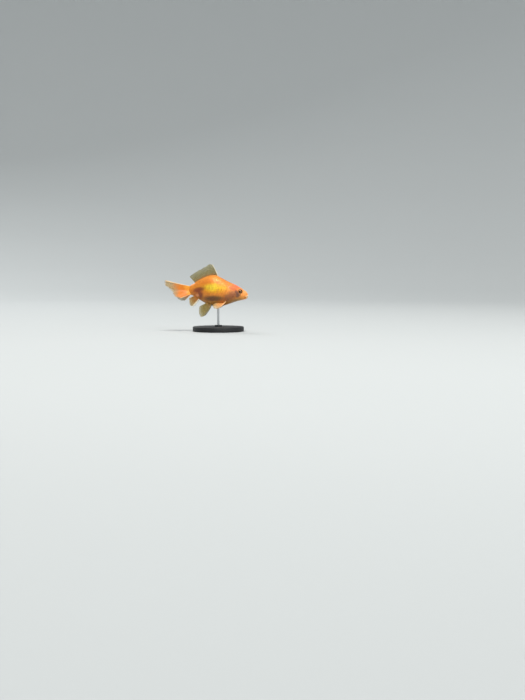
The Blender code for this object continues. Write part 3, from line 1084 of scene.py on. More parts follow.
@dataclass(frozen=True)
class EyeFinish:
    """A dark eye: black pupil, a thin gold ring, and a bronze iris."""

    rings: tuple[tuple[float, str], ...] = (
        (0.0, "050303"), (0.430, "050303"), (0.455, "D88A2C"), (0.50, "D88A2C"),
        (0.56, "3A1B0C"), (0.70, "3A1B0C"), (0.82, "140A06"),
    )
    streak: Layer = Layer("8C4A1A", 0.55)
    rim: Layer = Layer("2A1109", 1.0)
    glint: float = 0.55

    def material(self) -> Material:
        """Make the eye's material.

        Returns:
            The material. It reads how far a point is from the eye's axis, and its turn.
        """
        made, w, shader = new_material("goldfish_eye")
        far, angle = w.attribute("from_axis"), w.attribute("round_axis")
        round_ = w.joined(w.times(w.maths("COSINE", angle), 3.0),
                          w.times(w.maths("SINE", angle), 3.0), w.times(far, 1.4))
        rays = w.times(w.remap(w.noise(round_, 3.2, 3.0), 0.42, 0.66), w.remap(far, 0.46, 0.54))
        colour = w.laid(w.ramp(far, *self.rings), rays, self.streak)
        w.fill(shader, {
            "Base Color": w.laid(colour, w.remap(far, 0.84, 0.92), self.rim),
            "Metallic": w.times(w.remap(far, 0.44, 0.50),
                                w.remap(far, 0.84, 0.76, 0.0, self.glint)),
            "Roughness": 0.3,
            "Specular IOR Level": 0.15,
            "Coat Weight": 1.0,
            "Coat Roughness": 0.02,
            "Coat IOR": 1.36,
        })
        return made


@dataclass(frozen=True)
class PaintedBaseFinish:
    """Satin black paint over turned metal, worn thin along the edges."""

    colour: str = "17181A"
    worn: Layer = Layer("3A3B3D", 0.5)
    dust: Layer = Layer("5A5A58", 0.10)
    roughness: float = 0.56
    dusty_roughness: float = 0.68

    def material(self) -> Material:
        """Make the base's material.

        Returns:
            The material. It reads how worn each point is.
        """
        made, w, shader = new_material("stand_paint")
        spot = w.spot()
        worn = w.times(w.attribute("edge"), w.remap(w.noise(spot, 900.0, 4.0), 0.42, 0.66))
        dust = w.remap(w.noise(spot, 120.0, 3.0), 0.45, 0.75)
        w.fill(shader, {
            "Base Color": w.laid(w.laid(self.colour, worn, self.worn), dust, self.dust),
            "Roughness": w.remap(dust, 0.0, 1.0, self.roughness, self.dusty_roughness),
            "Specular IOR Level": 0.4,
            "Normal": w.bump(w.noise(spot, 1600.0, 2.0), 0.25, 0.00002),
        })
        return made


@dataclass(frozen=True)
class SteelFinish:
    """Steel drawn lengthwise, with faint streaks."""

    colour: str = "C4C6C8"
    streak: Layer = Layer("8F9194", 0.3)
    roughness: float = 0.24
    streak_roughness: float = 0.40
    grain: tuple[float, float, float] = (5200.0, 5200.0, 120.0)

    def material(self) -> Material:
        """Make the rod's material.

        Returns:
            The material.
        """
        made, w, shader = new_material("stand_steel")
        drawn = w.add("ShaderNodeMapping", {"Vector": w.spot(), "Scale": self.grain})
        streaks = w.noise(drawn.outputs["Vector"], 1.0, 3.0)
        w.fill(shader, {
            "Base Color": w.laid(self.colour, streaks, self.streak),
            "Metallic": 1.0,
            "Roughness": w.remap(streaks, 0.3, 0.7, self.roughness, self.streak_roughness),
            "Normal": w.bump(streaks, 0.15, 0.00001),
        })
        return made


@dataclass(frozen=True)
class FeltFinish:
    """Dark felt under the base."""

    colour: str = "23262A"
    fibre: str = "3B3F45"

    def material(self) -> Material:
        """Make the felt's material.

        Returns:
            The material.
        """
        made, w, shader = new_material("stand_felt")
        fibres = w.noise(w.spot(), 2600.0, 4.0)
        w.fill(shader, {
            "Base Color": w.blend(fibres, self.colour, self.fibre),
            "Roughness": 0.95,
            "Normal": w.bump(fibres, 0.6, 0.0001),
        })
        return made


# ---- The head's eyes ----


@dataclass(frozen=True)
class Eye:
    """One eyeball with a raised pupil, and the rim of skin round it. Lengths in metres."""

    body: BodyForm
    side: Side
    behind: float = 0.139 * BodyForm.length
    above: float = 0.070 * BodyForm.length
    sunk: float = 0.0225 * BodyForm.length
    radius: float = 0.0435 * BodyForm.length
    depth: float = 0.86
    rings: int = 28
    around: int = 64
    pupil_edge: Pair = (0.47, 0.40)
    pupil_lift: float = 0.035
    ring: Pair = (0.50, 0.05)
    ring_dip: float = 0.012
    rim_search: tuple[float, float, int] = (0.40, 0.985, 90)
    rim_width: float = 0.34 * MM
    rim_height: float = 0.09 * MM
    rim_smoothing: float = 3.0
    rim_blend: Pair = (0.95, 0.10)
    rim_steps: Stations = (
        (-0.30, -1.6), (-0.22, 0.1), (-0.02, 0.85), (0.20, 1.0), (0.45, 0.72), (0.72, 0.28),
        (1.0, -0.12), (1.25, -0.6),
    )

    @property
    def centre_out(self) -> float:
        """How far out the eyeball's centre is."""
        return float(self.body.skin_out(self.behind, self.above)) - self.sunk

    def ball_out(self, far: Array) -> Array:
        """Return how far out the eyeball's outer face is, at a distance from its axis."""
        share = np.clip(far / self.radius, 0, 1)
        return self.centre_out + self.radius * self.depth * np.sqrt(1 - share**2)

    def spots(self, far: Array, turns: Array) -> tuple[Array, Array]:
        """Return the places behind and above, at distances from the eye's axis and turns."""
        return self.behind + far * np.cos(turns), self.above + far * np.sin(turns)

    def rim_reach(self) -> Array:
        """Find how far from the axis the skin meets the eyeball.

        Returns:
            The distance for each step around.
        """
        nearest, farthest, count = self.rim_search
        fars = np.linspace(nearest * self.radius, farthest * self.radius, count)
        skin = self.body.skin_out(*self.spots(fars[None], circle(self.around)[:, None]))
        clear = self.ball_out(fars)[None] - skin
        met = np.argmax(clear < 0, axis=1)
        reach = np.where((clear < 0).any(axis=1), fars[met], fars[-1])
        steps = np.arange(self.around)
        steps = np.minimum(steps, self.around - steps)
        spread = np.exp(-0.5 * (steps / self.rim_smoothing) ** 2)
        kernel = np.fft.fft(spread / spread.sum())
        return np.real(np.fft.ifft(np.fft.fft(reach) * kernel))

    def rim_reach_at(self, turn: Array) -> Array:
        """Return the rim's distance from the axis in any direction."""
        return np.interp(turn, circle(self.around), self.rim_reach(), period=TURN)

    def rim(self) -> tuple[Array, Faces]:
        """Shape the rim of skin.

        Returns:
            Its points, in fish measures, and its faces.
        """
        turns = circle(self.around)
        reach = self.rim_reach()
        meeting = self.body.skin_out(*self.spots(reach, turns))
        proud = np.maximum(self.ball_out(np.minimum(reach, self.radius)) - meeting, 0)
        rows = []
        for across, lift in self.rim_steps:
            behind, above = self.spots(reach + across * self.rim_width, turns)
            skin = meeting if across < 0 else self.body.skin_out(behind, above)
            foot = skin + proud * float(smooth_step(np.array(across), *self.rim_blend))
            rows.append(np.stack((behind, foot + lift * self.rim_height, above), axis=-1))
        points = np.stack(rows)
        points[..., 1] *= self.side.value
        return points.reshape(-1, 3), tube_faces(len(rows), self.around)

    def build(self, finish: Material) -> None:
        """Build the eyeball.

        Args:
            finish: the eye's material.
        """
        polar = np.linspace(0, math.pi, self.rings + 1)[1:-1]
        turns = circle(self.around)
        far = np.sin(polar)
        front = polar < math.pi / 2
        lens = self.pupil_lift * smooth_step(far, *self.pupil_edge)
        lens = lens - self.ring_dip * swell(far, *self.ring)
        lift = self.radius * self.depth
        out = self.centre_out + lift * (np.cos(polar) + np.where(front, lens, 0))
        behind, above = self.spots(self.radius * far[:, None], turns)
        rows = np.stack(np.broadcast_arrays(behind, out[:, None], above), axis=-1)
        poles = [[self.behind, self.centre_out + lift * end, self.above]
                 for end in (1 + self.pupil_lift, -1.0)]
        points = np.vstack((rows.reshape(-1, 3), poles))
        points[:, 1] *= self.side.value
        piece = new_piece(f"eyeball_{self.side.word}", self.body.place(points),
                          capped_faces(len(polar), self.around))
        from_axis = np.repeat(np.where(front, far, 1.0), self.around)
        mark_points(piece, from_axis=np.append(from_axis, (0.0, 1.0)),
                    round_axis=np.append(np.tile(turns, len(polar)), (0.0, 0.0)))
        face_outwards(piece)
        settle(piece, [f"eye_{self.side.word}"], finish)


# ---- Skin ----


@dataclass(frozen=True)
class Spots:
    """Points of the bare skin, in millimetres on the fish, and their turns from the back."""

    behind: Array
    out: Array
    above: Array
    turn: Array


@dataclass(frozen=True)
class Groove:
    """A groove along part of an ellipse, in millimetres and degrees."""

    centre: Pair
    radii: Pair
    fade_in: Pair
    fade_out: Pair
    depth: float
    dark: float
    width: float = 0.21

    def shares(self, at: Spots) -> tuple[Array, Array]:
        """Find where points are from the groove.

        Args:
            at: the points.

        Returns:
            How far in the groove each is, and 1 outside the ellipse and 0 inside it.
        """
        over = (at.behind - self.centre[0]) / self.radii[0]
        up = (at.above - self.centre[1]) / self.radii[1]
        turn = np.degrees(np.arctan2(up, over))
        shown = smooth_step(turn, *self.fade_in) * smooth_step(turn, *self.fade_out)
        off = (np.hypot(over, up) - 1) * min(self.radii)
        return bump(off, self.width) * shown, smooth_step(off, 0.0, 0.5)


@dataclass(frozen=True)
class Relief:
    """Folds and swellings of the skin, in millimetres, degrees, and shares of the mouth.

    A pair holds where a shape fades in or out, or its place and its width.
    """

    mouth_front: Pair = (0.0, 0.42)
    mouth_corner: Pair = (2.95, -1.30)
    mouth_depth: float = 0.55
    lip_height: float = 0.16
    lip_crease: float = 0.13
    corner_dimple: float = 0.12
    mouth_end: Pair = (1.12, 0.86)
    slit_width: float = 0.16
    lip: Pair = (0.46, 0.27)
    crease: Pair = (1.02, 0.17)
    crease_start: Pair = (0.30, 0.55)
    corner: Pair = (1.06, 0.12)
    corner_width: float = 0.5
    gill_edge: float = 19.8
    gill_sweep: float = 4.97
    gill_slant: float = 0.93
    throat_sweep: float = 3.5
    throat_turn: float = 2.27
    gill_top: Pair = (48, 66)
    gill_foot: Pair = (174, 160)
    gill_step: float = 0.42
    step_edge: Pair = (-0.08, 0.14)
    step_run: float = 0.9
    margin_heights: Pair = (0.08, -0.06)
    margins: tuple[Pair, Pair] = ((-0.42, 0.34), (-1.05, 0.18))
    slit: Pair = (0.20, 0.20)
    cheek_rear: Pair = (0.3, -0.6)
    cheek_front: Pair = (8.0, 12.0)
    plate_corner: Pair = (12.6, 3.4)
    plate_lift: float = 0.12
    plate_rear: Pair = (-0.6, -1.4)
    plate_front: Pair = (0.8, 2.4)
    plate_top: Pair = (28, 14)
    plate_foot: Pair = (-98, -84)
    rib_height: float = 0.022
    ribs: float = 26.0
    grooves: tuple[Groove, ...] = (
        Groove((7.6, -0.2), (4.7, 5.2), (-118, -88), (42, 20), 0.15, 0.28),
        Groove((7.4, 3.3), (3.3, 3.5), (-165, -140), (20, -10), 0.07, 0.12),
        Groove((13.4, 1.2), (6.9, 6.2), (-84, -66), (-18, -30), 0.09, 0.16),
    )
    nostril: Pair = (3.70, 4.05)
    pits: tuple[Pair, Pair] = ((-0.34, -0.10), (0.36, 0.20))
    pit_widths: Pair = (0.20, 0.26)
    flap_widths: Pair = (0.12, 0.34)
    rim: Pair = (0.40, 0.16)
    nostril_rim: float = 0.09
    nostril_flap: float = 0.16
    nostril_depth: float = 0.34
    throat_depth: float = 0.20
    throat_side: Pair = (2.35, 2.65)
    fold_start: Pair = (8.0, 9.4)
    fold_end: Pair = (14.0, 12.0)
    fold_apart: float = 0.35
    fold_meeting: float = 8.6
    fold_spread: float = 0.16
    fold_width: float = 0.16
    middle_start: Pair = (3.6, 5.0)
    middle_end: Pair = (9.6, 8.2)
    middle_width: float = 0.22
    coat_depth: float = 0.22

    def mouth(self, at: Spots) -> tuple[Array, Array]:
        """Shape the mouth.

        Args:
            at: points of the skin.

        Returns:
            The lift of the lips, and how deep in the mouth each point is (0 to 1).
        """
        start = np.array(self.mouth_front)
        run = np.array(self.mouth_corner) - start
        far = np.stack((at.behind, at.above), axis=-1) - start
        share = far @ run / (run @ run)
        off = (far[..., 1] * run[0] - far[..., 0] * run[1]) / np.linalg.norm(run)
        fade = smooth_step(share, *self.mouth_end)
        slit = bump(off, self.slit_width) * fade
        lips = swell(np.abs(off), *self.lip) * fade
        crease = swell(np.abs(off), *self.crease) * fade * smooth_step(share, *self.crease_start)
        corner = swell(share, *self.corner) * bump(off, self.corner_width)
        lift = self.lip_height * lips - self.mouth_depth * slit
        lift = lift - self.lip_crease * crease - self.corner_dimple * corner
        return lift, np.clip(slit + 0.35 * crease + 0.3 * corner, 0, 1)

    def past_gills(self, behind: Array, turn: Array) -> Array:
        """Find how far behind the rear edge of the head points are.

        Args:
            behind: their places behind the snout.
            turn: their turns round the body.

        Returns:
            The distances.
        """
        throat = self.throat_sweep * smooth_step(np.abs(turn), self.throat_turn, math.pi)
        edge = self.gill_edge - self.gill_sweep * np.cos(turn) ** 2 - throat
        return self.gill_slant * (behind - edge)

    def gill(self, at: Spots) -> tuple[Array, Array, Array]:
        """Shape the gill cover.

        Args:
            at: points of the skin.

        Returns:
            The lift, the dark of slit and grooves (0 to 1), and the share of cheek.
        """
        past, side = self.past_gills(at.behind, at.turn), np.degrees(np.abs(at.turn))
        open_ = smooth_step(side, *self.gill_top) * smooth_step(side, *self.gill_foot)
        step = -self.gill_step * smooth_step(past, *self.step_edge) * np.exp(
            -np.maximum(past, 0) / self.step_run)
        margin = sum(height * swell(past, *margin)
                     for height, margin in zip(self.margin_heights, self.margins))
        cheek = smooth_step(past, *self.cheek_rear) * smooth_step(at.behind, *self.cheek_front)
        over, up = at.behind - self.plate_corner[0], at.above - self.plate_corner[1]
        fan, away = np.degrees(np.arctan2(up, over)), np.hypot(over, up)
        plate = smooth_step(past, *self.plate_rear) * smooth_step(away, *self.plate_front)
        plate = plate * smooth_step(fan, *self.plate_top) * smooth_step(fan, *self.plate_foot)
        ribs = self.rib_height * plate * np.sin(np.radians(fan) * self.ribs)
        behind_cheek = self.grooves[0].shares(at)[1]
        lift = open_ * (step + margin) + ribs + self.plate_lift * plate * behind_cheek
        # The dark here is painted shade in the gill slit and the grooves.
        dark = swell(past, *self.slit) * open_
        for groove in self.grooves:
            share = groove.shares(at)[0]
            lift, dark = lift - groove.depth * share, dark + groove.dark * share
        return lift, np.clip(dark, 0, 1), cheek

    def nose(self, at: Spots) -> tuple[Array, Array]:
        """Shape the nostrils, a pair of pits with a flap between them.

        Args:
            at: points of the skin.

        Returns:
            The lift, and the dark of the pits (0 to 1).
        """
        over, up = at.behind - self.nostril[0], at.above - self.nostril[1]
        fars = [np.hypot(over - spot[0], up - spot[1]) for spot in self.pits]
        pits = sum(map(bump, fars, self.pit_widths))
        flap = bump(over, self.flap_widths[0]) * bump(up, self.flap_widths[1])
        rim = self.nostril_rim * swell(np.minimum(*fars), *self.rim)
        lift = rim + self.nostril_flap * flap - self.nostril_depth * pits
        return lift, np.clip(0.9 * pits - flap, 0, 1)

    def throat(self, at: Spots) -> Array:
        """Shape the folds under the throat.

        Args:
            at: points of the skin.

        Returns:
            How far in the folds each point is (0 to 1).
        """
        low = smooth_step(np.abs(at.turn), *self.throat_side)
        apart = self.fold_apart + np.maximum(at.behind - self.fold_meeting, 0) * self.fold_spread
        fold = swell(np.abs(at.out), apart, self.fold_width)
        fold = fold * smooth_step(at.behind, *self.fold_start)
        middle = bump(at.out, self.middle_width) * smooth_step(
            at.behind, *self.middle_start) * smooth_step(at.behind, *self.middle_end)
        return low * (fold * smooth_step(at.behind, *self.fold_end) + 0.7 * middle)


@dataclass(frozen=True)
class FinBase:
    """A fleshy swelling at a fin's root, in millimetres."""

    spot: Triple
    reach: float
    height: float

    def lift(self, at: Spots) -> Array:
        """Return how far it lifts the skin at points on either side."""
        spots = np.stack((at.behind, np.abs(at.out), at.above), axis=-1)
        return self.height * bump(np.linalg.norm(spots - self.spot, axis=-1), self.reach)


@dataclass(frozen=True)
class Skin:
    """One skin from the lips to the root of the tail."""

    body: BodyForm
    relief: Relief
    eyes: tuple[Eye, ...]
    bases: tuple[FinBase, ...]
    around: int = 168
    snout_rows: int = 30
    head_rows: int = 132
    trunk_rows: int = 118
    tail_rows: int = 12
    head_end: float = 24.0 * MM
    coat_end: Pair = (53.4, 52.2)
    dorsal_start: Pair = (26.8, 28.4)
    dorsal_end: Pair = (49.4, 48.2)
    dorsal_height: float = 0.42
    vent: float = 41.7
    vent_ring: float = 0.22
    vent_depth: float = 0.25
    socket_margin: float = 0.02 * MM
    socket_depth: float = 0.30 * MM
    nodes: tuple[str, ...] = (
        "head", "lower_jaw", "gill_cover_left", "gill_cover_right", "trunk", "tail_stalk",
    )

    def stations(self) -> Array:
        """Space the rows of points, close together at both ends.

        Returns:
            Their places behind the snout.
        """
        length = self.body.length
        snout, tail = self.body.snout_round * length, self.body.tail_round * length
        quarter = np.linspace(0, math.pi / 2, self.snout_rows + 1)[1:]
        ends = np.linspace(math.pi / 2, 0, self.tail_rows + 1)[1:-1]
        return np.concatenate((
            snout * (1 - np.cos(quarter)),
            np.linspace(snout, self.head_end, self.head_rows + 1)[1:],
            np.linspace(self.head_end, length - tail, self.trunk_rows + 1)[1:],
            length - tail * (1 - np.cos(ends)),
        ))

    def swellings(self, at: Spots) -> Array:
        """Shape the flesh at the fins' roots and round the vent.

        Args:
            at: points of the skin.

        Returns:
            The lift at each point.
        """
        root = bump(at.out, 0.55) * smooth_step(at.behind, *self.dorsal_start) * smooth_step(
            at.behind, *self.dorsal_end) * (at.above > 0)
        far = np.hypot(at.behind - self.vent, at.out)
        vent = self.vent_ring * bump(far - 0.55, 0.3) - self.vent_depth * bump(far, 0.3)
        near_vent = (at.above < 0) & (np.abs(at.out) < 2)
        lift = self.dorsal_height * root + near_vent * vent
        return lift + sum(base.lift(at) for base in self.bases)

    def folded(self, behind: Array, turn: Array) -> tuple[Array, dict]:
        """Fold and swell the skin, and sink it behind the eyes.

        Args:
            behind: each point's place behind the snout, in metres.
            turn: each point's turn round the body.

        Returns:
            Points in fish measures, and the values of fold and cheek for each.
        """
        points = self.body.skin(behind, turn)
        at = Spots(*(points[..., i] / MM for i in range(3)), turn)
        mouth, in_mouth = self.relief.mouth(at)
        gill, in_gill, cheek = self.relief.gill(at)
        nose, in_nose = self.relief.nose(at)
        throat = self.relief.throat(at)
        scaled = smooth_step(self.relief.past_gills(at.behind, turn), -0.2, 0.9)
        scaled = scaled * smooth_step(at.behind, *self.coat_end)
        lift = mouth + gill + nose - self.relief.throat_depth * throat
        lift = lift - self.relief.coat_depth * scaled + self.swellings(at)
        points = points + self.body.normals(behind, turn) * (lift * MM)[..., None]
        for eye in self.eyes:
            points = self.sink(points, eye)
        # The fold mark is where shade is painted: mouth, slits, grooves, pits, throat folds.
        fold = np.clip(in_mouth + in_gill + in_nose + 0.4 * throat, 0, 1)
        return points, {"fold": fold, "cheek": cheek}

    def sink(self, points: Array, eye: Eye) -> Array:
        """Push the skin in front of an eyeball in behind its face.

        Args:
            points: the skin's points.
            eye: the eye.

        Returns:
            The points, moved.
        """
        over, up = points[..., 0] - eye.behind, points[..., 2] - eye.above
        far = np.hypot(over, up)
        edge = eye.rim_reach_at(np.arctan2(up, over)) + self.socket_margin
        inside = (far < edge) & (points[..., 1] * eye.side.value > 0)
        under = eye.ball_out(far) - self.socket_depth
        sunk = np.minimum(np.abs(points[..., 1]), under) * eye.side.value
        moved = points.copy()
        moved[..., 1] = np.where(inside, sunk, points[..., 1])
        return moved

    def build(self, finish: Material) -> None:
        """Build the skin and the rims of skin round the eyes.

        Args:
            finish: the skin's material.
        """
        stations = self.stations()
        points, marks = self.folded(*round_grid(stations, self.around))
        tips = np.stack((points[0].mean(axis=0), points[-1].mean(axis=0)))
        parts = [points.reshape(-1, 3), tips]
        faces = capped_faces(len(stations), self.around)
        for eye in self.eyes:
            rim, rim_faces = eye.rim()
            count = sum(map(len, parts))
            parts.append(rim)
            faces += [tuple(corner + count for corner in face) for face in rim_faces]
        piece = new_piece("goldfish_skin", self.body.place(np.vstack(parts)), faces)
        bare = np.zeros(sum(map(len, parts[1:])))
        mark_points(piece, **{name: np.append(value, bare) for name, value in marks.items()})
        layer = piece.data.uv_layers.new(name=BAKE_MAP)
        layer.data.foreach_set("uv", self.unwrapped(len(stations)).astype(np.float32).ravel())
        face_outwards(piece)
        settle(piece, self.nodes, finish)

    def unwrapped(self, rows: int) -> Array:
        """Unwrap the skin: its rings, its two end fans, and a strip for the rim of each eye.

        Args:
            rows: how many rings of points it has.

        Returns:
            The place on the map of each corner of its faces.
        """
        fans = [[(-0.6, j + 0.5), (0, j + 1), (0, j),
                 (rows - 0.4, j + 0.5), (rows - 1, j), (rows - 1, j + 1)]
                for j in range(self.around)]
        row, step = np.vstack((tube_map(rows, self.around), np.array(fans).reshape(-1, 2))).T
        places = [(0.01 + 0.97 * (row + 1) / (rows + 1), 0.01 + 0.88 * step / self.around)]
        for eye, shift in zip(self.eyes, (0.02, 0.52)):
            rim_rows = len(eye.rim_steps)
            row, step = tube_map(rim_rows, eye.around).T
            places.append((shift + 0.46 * step / eye.around, 0.91 + 0.07 * row / rim_rows))
        return np.hstack(places).T


# ---- Scales ----

# Points past this share of a plate's half width are on its rim.
RIM_SHARE = 0.99


def stored(w: Wiring, name: str, kind: str = "FLOAT") -> NodeSocket:
    """Read a named attribute in a geometry tree."""
    return w.add("GeometryNodeInputNamedAttribute", {"Name": name},
                 data_type=kind).outputs["Attribute"]


def store(
    w: Wiring, geometry: NodeSocket, name: str, value: Feed, kind: str = "FLOAT",
    domain: str = "POINT",
) -> NodeSocket:
    """Store a named attribute in a geometry tree.

    Args:
        w: the tree's wiring.
        geometry: what takes it.
        name: its name.
        value: its value.
        kind: its type.
        domain: whether points or corners hold it.

    Returns:
        The geometry with the attribute.
    """
    feeds = {"Geometry": geometry, "Name": name, "Value": value}
    settings = {"data_type": kind, "domain": domain}
    return w.add("GeometryNodeStoreNamedAttribute", feeds, **settings).outputs["Geometry"]


def finished(w: Wiring, geometry: NodeSocket, finish: NodeSocket) -> NodeSocket:
    """Realize a tree's instances, shade them smooth and set their material.

    Args:
        w: the tree's wiring.
        geometry: the tree's result.
        finish: the material.

    Returns:
        The finished geometry.
    """
    whole = w.add("GeometryNodeRealizeInstances", {"Geometry": geometry}).outputs["Geometry"]
    smooth = w.add("GeometryNodeSetShadeSmooth", {"Geometry": whole}).outputs["Geometry"]
    feeds = {"Geometry": smooth, "Material": finish}
    return w.add("GeometryNodeSetMaterial", feeds).outputs["Geometry"]


def crowded(w: Wiring, value: NodeSocket, crowding: NodeSocket) -> NodeSocket:
    """Crowd the outermost two lines of a plate together."""
    rim = w.maths("GREATER_THAN", w.maths("ABSOLUTE", value), RIM_SHARE)
    return w.between(rim, w.times(value, crowding), value)


def scale_plate(w: Wiring, start: Node) -> NodeSocket:
    """Make one scale, flat and 1 long, with its root at the origin.

    Args:
        w: the tree's wiring.
        start: the tree's input node.

    Returns:
        The plate. Its points carry along, across, rim and lap.
    """
    given = start.outputs
    grid = w.add("GeometryNodeMeshGrid", {
        "Size X": 2.0, "Size Y": 2.0, "Vertices X": given["Steps"], "Vertices Y": given["Steps"],
    })
    spot = w.add("ShaderNodeSeparateXYZ", {0: w.add("GeometryNodeInputPosition").outputs[0]})
    sides = [w.maths("ABSOLUTE", spot.outputs[i]) for i in range(2)]
    marks = {
        "along": w.plus(w.times(crowded(w, spot.outputs[0], given["Crowding"]), 0.5), 0.5),
        "across": crowded(w, spot.outputs[1], given["Crowding"]),
        "rim": w.maths("GREATER_THAN", w.maths("MAXIMUM", *sides), RIM_SHARE),
    }
    plate = grid.outputs["Mesh"]
    for name, value in marks.items():
        plate = store(w, plate, name, value)
    along, across = stored(w, "along"), stored(w, "across")
    arc = w.maths("POWER", w.maths("ABSOLUTE", across), 2.6)
    bow = w.minus(1.0, w.times(given["Roundness"], arc))
    plate = store(w, plate, "lap", w.times(along, bow))
    swell = w.maths("SINE", w.maths("MINIMUM", w.times(along, 2.6), math.pi / 2))
    waist = w.plus(0.62, w.times(0.38, swell))
    shape = w.joined(stored(w, "lap"), w.times(w.times(across, 0.5), waist), 0.0)
    return w.add("GeometryNodeSetPosition", {"Geometry": plate, "Position": shape}).outputs[0]


def scale_tree() -> NodeTree:
    """Make the tree that grows one scale on each point and lays it on the body.

    Returns:
        The geometry tree. The points carry lie, facing, long, wide, tone, line and spot.
    """
    tree, w, start, end = new_group("Scale Coat", "GeometryNodeTree", {
        "Roots": "Geometry", "Body": "Object", "Steps": 8, "Crowding": 1.33,
        "Root Depth": 0.00022, "Edge Thickness": 0.00005, "Dome": 0.00003, "Roundness": 0.42,
        "Patch Size": 0.003, "Finish": "Material",
    }, {"Scales": "Geometry"})
    given = start.outputs
    axes = w.add("FunctionNodeAxesToRotation",
                 {0: stored(w, "facing", "FLOAT_VECTOR"), 1: stored(w, "lie", "FLOAT_VECTOR")},
                 primary_axis="Z", secondary_axis="X")
    placed = w.add("GeometryNodeInstanceOnPoints", {
        "Points": given["Roots"], "Instance": scale_plate(w, start),
        "Rotation": axes.outputs[0],
        "Scale": w.joined(stored(w, "long"), stored(w, "wide"), 1.0),
    })
    coat = w.add("GeometryNodeRealizeInstances", {"Geometry": placed.outputs["Instances"]})
    body = w.add("GeometryNodeObjectInfo", {"Object": given["Body"]}, transform_space="RELATIVE")
    foot, facing = (
        w.add("GeometryNodeSampleNearestSurface",
              {"Mesh": body.outputs["Geometry"], "Value": value},
              data_type="FLOAT_VECTOR").outputs["Value"]
        for value in (w.add("GeometryNodeInputPosition").outputs[0],
                      stored(w, "skin_facing", "FLOAT_VECTOR"))
    )
    along, across = stored(w, "along"), stored(w, "across")
    lift = w.times(given["Root Depth"], w.minus(w.maths("POWER", stored(w, "lap"), 0.85), 1.0))
    lift = w.minus(lift, w.times(given["Dome"], w.times(across, across)))
    lift = w.minus(lift, w.times(given["Edge Thickness"], stored(w, "rim")))
    laid = w.add("GeometryNodeSetPosition", {
        "Geometry": coat.outputs["Geometry"],
        "Position": w.vector("ADD", foot, w.scaled(facing, lift)),
    })
    patch = w.joined(w.times(w.minus(along, 0.5), given["Patch Size"]),
                     w.times(w.times(across, 0.5), given["Patch Size"]), 0.0)
    mapped = store(w, laid.outputs["Geometry"], BAKE_MAP,
                   w.vector("ADD", stored(w, "spot", "FLOAT_VECTOR"), patch),
                   "FLOAT2", "CORNER")
    w.feed(end.inputs["Scales"], finished(w, mapped, given["Finish"]))
    return tree


@dataclass(frozen=True)
class ScaleRow:
    """Where one row of scales runs, at each station along the body."""

    turn: Array
    shown: Array
    spacing: Array
    offset: float
    pored: bool = False
    size: float = 1.0


